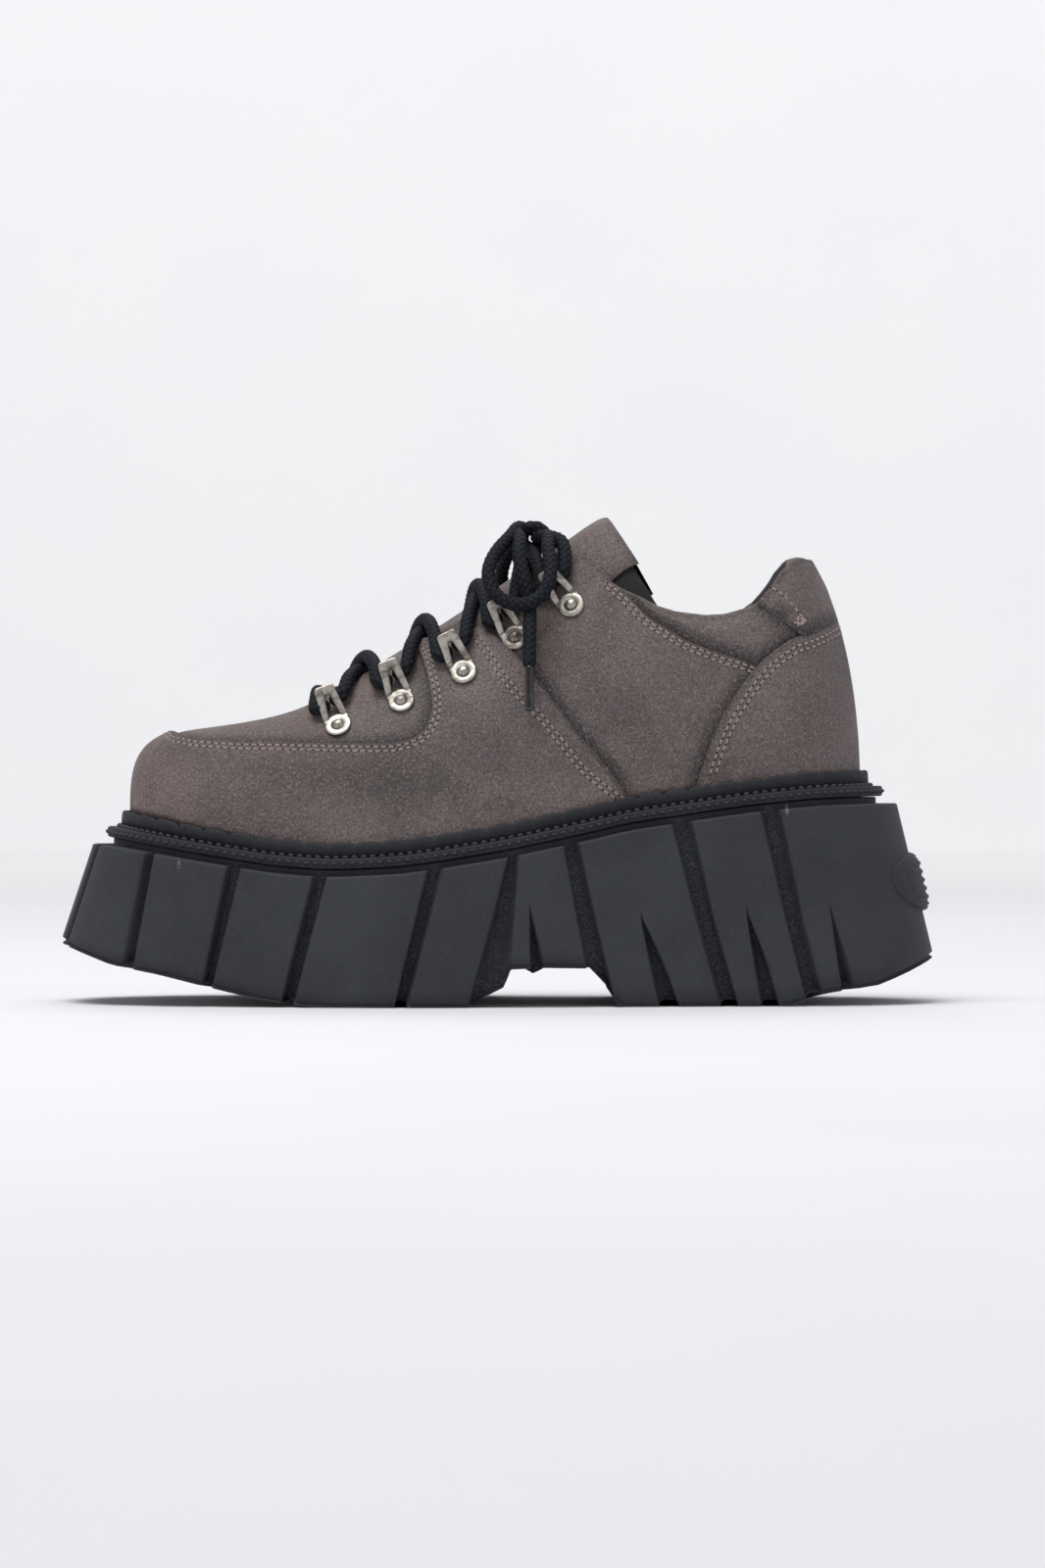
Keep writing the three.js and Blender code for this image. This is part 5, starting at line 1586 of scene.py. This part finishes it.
def inner_rows(first, more, n):
    """Rows down the inside, which start where the roll ends."""
    down = np.linspace(1, 0, n)[:, None]
    k = -(2 * ROLL + 0.4 + more + 1.2 * padded_share * np.sin(np.pi * down))
    rows = last_point(np.broadcast_to(ring_a, (n, len(ring_a))), down * rim_phi[None, :] * 0.985, k)
    rows[0] = np.where(open_here[:, None], first, last_point(ring_a, rim_phi, k[0]))
    return rows


def closed_wall(outer, over, inner, **numbers):
    """A wall with an outer and an inner face, joined over the rim where it is open and along the base."""
    keep = np.flatnonzero(open_here)
    shape = Shape()
    shape.grid(outer, wrap=True, flip=True, **numbers)
    shape.grid(over[:, keep], wrap=True, flip=True, edge=99.0, burn=0.3)
    shape.grid(inner, wrap=True, flip=True, edge=99.0)
    shape.grid(np.stack([inner[-1], outer[0]]), wrap=True, flip=True, edge=99.0)
    return shape


roll = rolled(np.linspace(0, np.pi, 11))
inside = inner_rows(roll[-1], 0.0, 16)
seams = [guard_edge, *guard_sides, counter_edge, *tab_sides, *quarter_edges]
# painted shade and burnishing beside every overlapping seam of the shell
burnt_and_shaded = smudged(outside) + nearness(outside, seams, 6.0) ** 0.8
piece("upper_shell", closed_wall(outside, roll, inside, burn=burnt_and_shaded, edge=99.0), leather_body,
      ["upper"], merge=0.01, close=True)
shown = smooth_step(88, 93, top[:, 0]) * (1 - smooth_step(103, 107, top[:, 0]))
first_turn = np.pi * mix(0.56, 0.16, shown)
cloth_over = rolled(mix(first_turn, np.pi, np.linspace(0, 1, 10)[:, None]), 0.35)
cloth_in = inner_rows(cloth_over[-1], 0.35, 30)
cloth = Shape()
keep = np.flatnonzero(open_here)
cloth.grid(cloth_over[:, keep], wrap=True, flip=True)
cloth.grid(cloth_in, wrap=True, flip=True)
piece("upper_lining", cloth, lining, merge=0.01)

# %% [markdown]
# ## Stitches on the leather
# Two rows of thread run beside the seams. A row is an edge moved inwards over the surface in small steps. Between
# two stitches the needle left a hole, drawn as a small dark mark of painted shade.

# %% Rows of stitches
def moved_in(curve, inset, sign, out):
    """A curve on the last moved sideways over the surface, in four steps."""
    curve = curve.copy()
    for _ in range(4):
        p = last_point(curve[:, 0], curve[:, 1], out)
        by_a = (last_point(curve[:, 0] + 0.5, curve[:, 1], out) - p) / 0.5
        by_phi = (last_point(curve[:, 0], curve[:, 1] + 0.01, out) - p) / 0.01
        normal = np.cross(by_phi, by_a)
        normal /= np.linalg.norm(normal, axis=1, keepdims=True) + 1e-9
        along = np.gradient(p, axis=0)
        along /= np.linalg.norm(along, axis=1, keepdims=True) + 1e-9
        step = np.cross(normal, along) * sign * inset / 4
        aa, ab, bb = (by_a ** 2).sum(1), (by_a * by_phi).sum(1), (by_phi ** 2).sum(1)
        sa, sb = (step * by_a).sum(1), (step * by_phi).sum(1)
        det = aa * bb - ab ** 2 + 1e-9
        curve[:, 0] += (sa * bb - sb * ab) / det
        curve[:, 1] += (sb * aa - sa * ab) / det
    return curve


upper_thread = Shape()
holes = Shape()


def stitch_row(curve, inset, sign, out, length=2.1, pitch=2.75):
    """Stitches and needle holes along an edge, at a distance inside it."""
    line = evenly(moved_in(evenly(curve, 400), inset, sign, out), 500)
    path = last_point(line[:, 0], line[:, 1], out)
    normal = last_point(line[:, 0], line[:, 1], out + 1) - path
    n = stitches(upper_thread, path, normal, length, 0.72, 0.34, pitch)
    # painted shade: each needle hole is a small dark mark
    stitches(holes, path, normal, 0.75, 0.8, 0.13, pitch, start=-pitch / 2)
    return n


made = 0
apron_curve = guard_high[26:-26]
for inset in (1.5, 3.2):
    made += stitch_row(apron_curve, inset, 1, OVERLAY_OUT)
for side in (-1, 1):
    rear = side_curve(smooth_side(REAR_EDGE, 60), side)
    seam = side_curve(smooth_side(COLLAR_SEAM, 60), side)
    for inset in (2.2, 4.1):
        made += stitch_row(rear[2:], inset, side, OVERLAY_OUT)
    for inset in (1.5, 3.1):
        made += stitch_row(seam, inset, side, 0.6)
    tab_front = side_curve(smooth_side(TAB_EDGE, 40), side)
    made += stitch_row(tab_front[6:-4], 3.8, -side, OVERLAY_OUT)
for inset in (3.4, 5.3):
    made += stitch_row(counter_high[4:-4], inset, 1, OVERLAY_OUT)
piece("upper_stitches", upper_thread, thread, merge=0.001)
piece("needle_holes", holes, needle_hole, merge=0.001)
print("upper stitches", made)

# %% [markdown]
# ## Tongue
# The tongue lies under the throat and stands up above it. Each cross-section is lowered from over
# the instep until it meets the last, leaning back more towards the top, so its sides fall behind
# its middle as the real one's do. The leather face lies on a wider black lining that shows as a
# dark wedge inside the collar.

# %% Tongue body
TONGUE_LEAN = 0.56


def tongue_points(along, across, depth):
    """Points lowered onto the last by halving, for shares along and across and a depth under the face."""
    x0 = mix(upper_x(0.2), upper_x(0.647), along)
    half = mix(34.0, 44.0, smooth_step(0.1, 1, along)) / 2
    lean = TONGUE_LEAN * along ** 2
    y = spine(x0) + half * across
    top = crest(x0) + 4
    low = np.zeros(np.broadcast(x0, y, depth).shape)
    high = np.full_like(low, 60.0)
    for _ in range(40):
        d = (low + high) / 2
        x = x0 + np.sin(lean) * d
        z = top - np.cos(lean) * d
        inside_throat = np.clip(1 - (np.abs(y - spine(x)) / np.maximum(throat_half(x) - 2, 1.0)) ** 2, 0, 1)
        shown = smooth_step(THROAT_FRONT + 4, THROAT_FRONT + 18, x)
        k = -3.0 + 2.7 * inside_throat * shown
        over = z > surface_z(x, y, k - depth)
        low = np.where(over, d, low)
        high = np.where(over, high, d)
    return np.stack([x0 + np.sin(lean) * low, y + 0 * low, top - np.cos(lean) * low], -1)


def tongue_shape(width, top, thick, under, soft):
    """A closed flat body: its section is a stadium, and its upper end is rounded the same way."""
    turn = np.linspace(0, 2 * np.pi, 72, endpoint=False)
    flat = np.sign(np.cos(turn)) * np.abs(np.cos(turn)) ** 0.45
    sink = 0.5 - 0.5 * np.sign(np.sin(turn)) * np.abs(np.sin(turn)) ** 0.7
    last_rows = top - 0.03 + 0.03 * np.sin(np.linspace(0.1, np.pi / 2, 10))
    along = np.concatenate([np.linspace(0.0, top - 0.03, 60), last_rows])
    end = np.sqrt(np.clip(1 - np.clip((along - (top - 0.03)) / 0.03, 0, 1) ** 2, 0.0, 1))
    round_off = 1 - (1 - end) * soft
    a = along[:, None] * np.ones((1, len(turn)))
    corner = mix(1.0, 0.9, smooth_step(top - 0.14, top, along))[:, None]
    across = flat[None, :] * width * corner
    depth = under + thick * (0.5 + (sink[None, :] - 0.5) * round_off[:, None])
    points = tongue_points(a, across, depth)
    shape = Shape()
    start = np.broadcast_to(points[0].mean(0), points[:1].shape)
    end_point = np.broadcast_to(points[-1].mean(0), points[:1].shape)
    edge = np.minimum((1 - np.abs(across)) * 20, (top - a) * 110)
    edge = np.concatenate([edge[:1], edge, edge[-1:]])
    shape.grid(np.concatenate([start, points, end_point]), wrap=True, edge=np.clip(edge, 0, 99), burn=0.0)
    return shape


piece(
    "tongue_face", tongue_shape(1.0, 1.0, 2.6, 0.0, 0.9), leather_body, ["tongue"],
    merge=0.003,
)
piece("tongue_lining", tongue_shape(1.3, 0.985, 2.4, 2.7, 0.9), lining, merge=0.003)

# %% [markdown]
# ## Lace loops
# Each loop is stamped from sheet: a round foot under a domed rivet, a fold, and a bail with a
# pointed slot that stands off the leather so that the lace can pass behind it. The bail is a ring
# between an outer and a slot outline with a rounded section; foot and rivet are turned profiles.

# %% Loop shape
EYELETS = [
    (0.287, 0.383, 0.27, 0.477, 0.15), (0.373, 0.454, 0.355, 0.551, 0.15), (0.458, 0.538, 0.433, 0.646, 1.6),
    (0.528, 0.638, 0.501, 0.735, 0.75), (0.605, 0.734, 0.569, 0.824, 0.75),
]
FOLD = 3.4
BAIL_TOP = 14.0
PLATE = 1.0
LIFT = 0.60


def loop_frame(row, side):
    """Place of a loop's rivet and its directions: across, along the leather to the tip, and out of it."""
    at, up, tip_at, tip_up, k = row
    x, z = upper_x(at), up_z(up)
    h = 2.0
    origin = np.array([x, float(surface_y(x, z, side, k)), z])
    ahead = np.array([2 * h, float(surface_y(x + h, z, side, k) - surface_y(x - h, z, side, k)), 0])
    above = np.array([0, float(surface_y(x, z + h, side, k) - surface_y(x, z - h, side, k)), 2 * h])
    out = np.cross(ahead, above)
    out /= np.linalg.norm(out)
    if out[1] * side < 0:
        out = -out
    tip_x, tip_z = upper_x(tip_at), up_z(tip_up)
    tip = np.array([tip_x, float(surface_y(tip_x, tip_z, side, k)), tip_z]) - origin
    along = tip - out * (tip @ out)
    along /= np.linalg.norm(along)
    return origin, np.cross(along, out), along, out


def outline(corners_list, radii, n):
    """A closed outline with rounded corners, as n even points."""
    pts = np.array(corners_list, float)
    out = []
    for i, r in enumerate(radii):
        p, a, b = pts[i], pts[i - 1], pts[(i + 1) % len(pts)]
        u = (a - p) / np.linalg.norm(a - p) * r
        v = (b - p) / np.linalg.norm(b - p) * r
        for t in np.linspace(0, 1, 9):
            out.append(p + (1 - t) ** 2 * u + t ** 2 * v)
    out = np.array(out + out[:1])
    far = arc_length(out)
    s = np.linspace(0, far[-1], n, endpoint=False)
    return np.stack([np.interp(s, far, out[:, k]) for k in range(2)], 1)


def lathe(profile, n=40):
    """A profile of radius and height turned round the out direction."""
    turn = np.linspace(0, 2 * np.pi, n, endpoint=False)
    r = np.array([p[0] for p in profile])[:, None]
    z = np.array([p[1] for p in profile])[:, None]
    return np.stack([r * np.cos(turn), r * np.sin(turn), z + 0 * turn], -1)


def bail():
    """The bail as a closed ring between its outline and its slot, bent out of the leather beyond the fold."""
    n = 96
    outer = outline([(-4.75, 1.6), (4.75, 1.6), (3.55, BAIL_TOP), (-3.55, BAIL_TOP)], [0.8, 0.8, 1.2, 1.2], n)
    slot = outline([(-2.3, FOLD + 0.2), (2.3, FOLD + 0.2), (0.85, BAIL_TOP - 3.3), (-0.85, BAIL_TOP - 3.3)],
                   [0.3, 0.3, 0.8, 0.8], n)
    middle = np.array([0.0, 7.2])

    def by_angle(points):
        angle = np.unwrap(np.arctan2(*(points - middle).T[::-1]))
        start = np.argmin(np.abs(np.mod(angle + np.pi, 2 * np.pi) - np.pi))
        return np.roll(points, -start, axis=0)

    outer, slot = by_angle(outer), by_angle(slot)
    turn = np.linspace(0, 2 * np.pi, 16, endpoint=False)
    share = 0.5 + 0.5 * np.sign(np.cos(turn)) * np.abs(np.cos(turn)) ** 0.5
    high = 0.5 + 0.5 * np.sign(np.sin(turn)) * np.abs(np.sin(turn)) ** 0.5
    flat = mix(slot[None], outer[None], share[:, None, None])
    bend = np.clip(flat[..., 1] - FOLD, 0, None)
    curl = np.clip(flat[..., 1] - (BAIL_TOP - 2.6), 0, None)
    z = bend * np.tan(LIFT) - 0.10 * curl ** 2 + high[:, None] * PLATE
    # painted shade: the underside of the bail, the edge of its slot and the fold are marked dark
    deep = (1 - high)[:, None] * 0.6 + 0.45 * np.exp(-((share[:, None] - 0.05) / 0.16) ** 2) + 0 * z
    fold_shade = 0.6 * np.exp(-((flat[..., 1] - FOLD) / 0.45) ** 2)
    return np.stack([flat[..., 0], flat[..., 1], z], -1), np.clip(deep + fold_shade, 0, 1)


FOOT = [(0, PLATE), (2.2, PLATE), (2.45, PLATE - 0.12), (2.8, PLATE), (4.3, PLATE), (4.68, PLATE - 0.12),
        (4.85, PLATE - 0.4), (4.85, 0.2), (4.6, -0.4), (0, -0.4)]
# painted shade: the groove round the rivet, the rim and underside of the foot and the foot of the dome are marked
# dark
FOOT_DEEP = [0.2, 1.0, 1.0, 0.15, 0.0, 0.1, 0.5, 1, 1, 1]
DOME = [(2.15 * np.cos(t), PLATE - 0.1 + 1.25 * np.sin(t)) for t in np.linspace(0, np.pi / 2, 8)]
DOME_DEEP = np.array([1.0, 1.0, 0.5, 0.1, 0, 0, 0, 0, 0, 0])
bail_points, bail_deep = bail()


def loop_shape(row, side):
    origin, over, along, out = loop_frame(row, side)
    frame_of = np.stack([over, along, out])
    shape = Shape()
    for local, deep in (
        (np.concatenate([bail_points, bail_points[:1]]), np.concatenate([bail_deep, bail_deep[:1]])),
        (lathe(FOOT), np.repeat(np.array(FOOT_DEEP)[:, None], 40, 1)),
        (lathe([(0, PLATE - 0.3), (2.15, PLATE - 0.3), *DOME]), np.repeat(DOME_DEEP[:, None], 40, 1)),
    ):
        shape.grid(origin + local @ frame_of, wrap=True, deep=deep)
    return shape


for number, row in enumerate(EYELETS, 1):
    for side, side_name in ((-1, "lateral"), (1, "medial")):
        piece(f"bail_{side_name}_{number}", loop_shape(row, side), loop_nickel,
              [f"loop_{side_name}_{number}"], merge=0.003)

# %% [markdown]
# ## Lacing
# The lace goes behind each bail, comes out on its heel side, crosses over the tongue and goes
# behind the next bail on the other side. Each run starts and ends behind a bail, where it meets
# the next one, so the lace looks like one cord.

# %% Runs of the lace
BESIDE = (0.0, 3.0, 5.4)


def behind(row, side, place):
    """A point of the lace beside or behind a bail. Place is how far it lies to the heel side."""
    origin, over, along, out = loop_frame(row, side)
    heelwards = 1 if over[0] > 0 else -1
    up = 10.3 + 0.22 * place
    rise = 1.5 + 0.2 * np.clip(abs(place) - 3.4, 0, None) ** 2
    return origin + along * up + over * heelwards * place + out * rise


def laced(start_row, start_side, start_turn, end_row, end_side, end_turn, hump):
    first = [behind(start_row, start_side, start_turn * p) for p in BESIDE]
    final = [behind(end_row, end_side, end_turn * p) for p in BESIDE[::-1]]
    t = np.linspace(0, 1, 9)[1:-1]
    line = mix(first[-1], final[0], t[:, None])
    x, y = line[:, 0], line[:, 1]
    slope = (surface_z(x, y + 1, OVERLAY_OUT) - surface_z(x, y - 1, OVERLAY_OUT)) / 2
    lie = surface_z(x, y, OVERLAY_OUT) + (LACE / 2 + 0.3) * np.hypot(1, slope)
    line[:, 2] = lie + np.sin(np.pi * t) ** 2 * hump
    return smooth_path(np.concatenate([first, line, final]))


def both(paths):
    shape = Shape()
    for path in paths:
        one = cord_shape(path)
        shape.add(one.points[0], one.faces[0], rise=one.numbers["rise"][0])
    return shape


bar = laced(EYELETS[0], -1, -1, EYELETS[0], 1, -1, -1.9)
lace_piece("lace_first_bar", both([bar]), ["lace_bar"])
for i in range(4):
    low, high = EYELETS[i], EYELETS[i + 1]
    under = laced(low, -1, 1, high, 1, -1, -2.8)
    over = laced(low, 1, 1, high, -1, -1, 0.9)
    lace_piece(f"lace_cross_{i + 1}", both([under, over]), [f"lace_crossing_{i + 1}"])


def to_knot(side):
    """The last run, from behind the top bail up to the knot."""
    first = [behind(EYELETS[4], side, p) for p in BESIDE]
    near = KNOT + np.array([2.5, side * 5.0, 0.5])
    x, y = mix(first[-1][0], near[0], 0.5), mix(first[-1][1], near[1], 0.5)
    lift = float(surface_z(x + 3, y, OVERLAY_OUT)) + LACE
    return smooth_path([*first, [x + 3.5, y, lift], near, KNOT + np.array([0, side * 1.5, 0])])


def knot_wrap(offset, lean):
    """One turn of the lace round the middle of the bow."""
    turn = np.linspace(-0.4, 2 * np.pi + 0.3, 90)
    return KNOT + np.stack([4.2 * np.cos(turn), offset + lean * turn / 2, 3.9 * np.sin(turn)], 1)


knot_paths = [even(knot_wrap(-2.6, 0.35), 0.5), even(knot_wrap(1.6, 0.4), 0.5)]
knot = both(knot_paths)
lace_piece("bow_knot", knot, ["lace_knot"])
lace_piece("lace_last_runs", both([to_knot(-1), to_knot(1)]))

# %% [markdown]
# ## Heel pad and insole
# A raised oval pad with plain ribs sits on the back of the heel block. It is a grid of rings that
# follows the slanting wall. The insole keeps its solid and only gets a cloth material.

# %% Heel pad
PAD_Z = 43.5
PAD_HALF = (27.0, 10.5)
PAD_OUT = 3.2


def heel_wall(y, z):
    """Place of the heel block's back wall at distances from the middle line and heights."""
    near = np.abs(np.mod(WALK + 60, AROUND) - 60) < 55
    order = np.argsort(OUTER[0][near, 1])
    rows = OUTER[5:19][:, near][:, order]
    x = np.stack([np.interp(y.ravel(), row[:, 1], row[:, 0]) for row in rows])
    h = np.stack([np.interp(y.ravel(), row[:, 1], row[:, 2]) for row in rows])
    share = [np.interp(level, h[::-1, i], x[::-1, i]) for i, level in enumerate(z.ravel())]
    return np.array(share).reshape(y.shape)


turn = np.linspace(0, 2 * np.pi, 120, endpoint=False)
border = 1 - 0.16 * (1 - np.sin(np.linspace(0, np.pi / 2, 10)[1:]))
ring = np.concatenate([np.linspace(0.02, 0.84, 22), border])[:, None]
pad_y = -0.5 + PAD_HALF[0] * ring * np.sign(np.cos(turn)) * np.abs(np.cos(turn)) ** 0.85
pad_z = PAD_Z + PAD_HALF[1] * ring * np.sign(np.sin(turn)) * np.abs(np.sin(turn)) ** 0.85
dome = PAD_OUT * np.sqrt(np.clip(1 - ring ** 7, 0, 1)) - 0.1
ribs = 0.45 * np.sin((pad_z - PAD_Z) * 2 * np.pi / 3.0) * (1 - smooth_step(0.7, 0.8, ring))
frame_line = -0.5 * np.exp(-((ring - 0.84) / 0.03) ** 2)
pad_x = heel_wall(pad_y, pad_z) + dome + ribs + frame_line
pad_points = np.stack([pad_x, pad_y, pad_z], -1)
foot_ring = pad_points[-1:] - [2.0, 0, 0]
centre = np.broadcast_to(pad_points[0].mean(0), pad_points[:1].shape)
heel_pad = Shape()
# painted shade: the troughs between the ribs get the number that darkens the rubber
pad_deep = np.concatenate([ribs[:1], np.clip(-ribs, 0, 1), ribs[:1] * 0])
heel_pad.grid(np.concatenate([centre, pad_points, foot_ring]), wrap=True, deep=pad_deep)
piece("heel_pad", heel_pad, sole_rubber, merge=0.003, close=True)

# %% Insole cloth
insole_cloth = plain("insole_cloth", srgb(40, 38, 39), 0.9, grain=0.8, scale=1300.0)
insole = bpy.data.objects["insole"]
insole.data.materials.clear()
insole.data.materials.append(insole_cloth)

# %% [markdown]
# ## Light and floor
# A pale round floor curves up into a wall, and three large soft lights wrap the shoe, as in a studio. The
# strongest comes from above, a little in front and to the toe side. The floor and wall also glow, more so far
# from the shoe: painted light that brightens the backdrop and the light it throws back.

# %% Studio
def studio():
    turn = np.linspace(0, 2 * np.pi, 96, endpoint=False)
    bend = np.linspace(0, np.pi / 2, 12)
    profile = [(r, 0.0) for r in (0.01, 0.2, 0.6, 1.5, 3.0, 5.0)]
    profile += [(5.0 + 1.5 * np.sin(t), 1.5 - 1.5 * np.cos(t)) for t in bend[1:]]
    profile += [(6.5, 2.6)]
    radius = np.array([p[0] for p in profile])[:, None]
    height = np.array([p[1] for p in profile])[:, None] + 0 * turn
    points = np.stack([radius * np.cos(turn), radius * np.sin(turn), height], -1) * 1000 - SHIFT
    floor = Shape()
    floor.grid(np.concatenate([points[:1] * [0, 0, 1], points]), wrap=True, flip=True)
    f = Finish("glowing_paper", Roughness=0.9)
    f.shader.inputs["Specular IOR Level"].default_value = 0.1
    # painted light: the floor and wall glow, not at all near the shoe and more with distance from it
    f.shader.inputs["Emission Strength"].default_value = 1.0
    far = f.place().vector_length().step(0.4, 3.2)
    f.into("Emission Color", f.blend((0.0, 0.0, 0.0), (0.45, 0.45, 0.45), far))
    f.into("Base Color", f.blend(srgb(228, 228, 230), srgb(225, 225, 228), f.noise(3.0).step(0.3, 0.7)))
    return piece("studio_floor", floor, f.material, stage=True)


studio()


def soft_light(name, place, aim, size, power):
    data = bpy.data.lights.new(name, "AREA")
    data.shape = "RECTANGLE"
    data.size, data.size_y = size
    data.energy = power
    lamp = bpy.data.objects.new(name, data)
    lamp.location = place
    direction = np.array(aim) - np.array(place)
    lamp.rotation_euler = Vector(direction).to_track_quat("-Z", "Y").to_euler()
    bpy.context.scene.collection.objects.link(lamp)


soft_light("key", (-0.4, -0.4, 1.9), (0.0, 0.0, 0.08), (1.2, 1.0), 30.0)
soft_light("fill", (1.3, -1.2, 0.8), (0.0, 0.0, 0.08), (1.2, 1.2), 2.0)
soft_light("back", (0.2, 1.2, 1.6), (0.0, 0.0, 0.1), (1.8, 0.8), 11.0)
world = bpy.data.worlds.new("studio")
world.use_nodes = True
world.node_tree.nodes["Background"].inputs["Color"].default_value = (0.95, 0.96, 1.0, 1.0)
world.node_tree.nodes["Background"].inputs["Strength"].default_value = 0.31
bpy.context.scene.world = world
bpy.context.scene.view_settings.view_transform = "Standard"
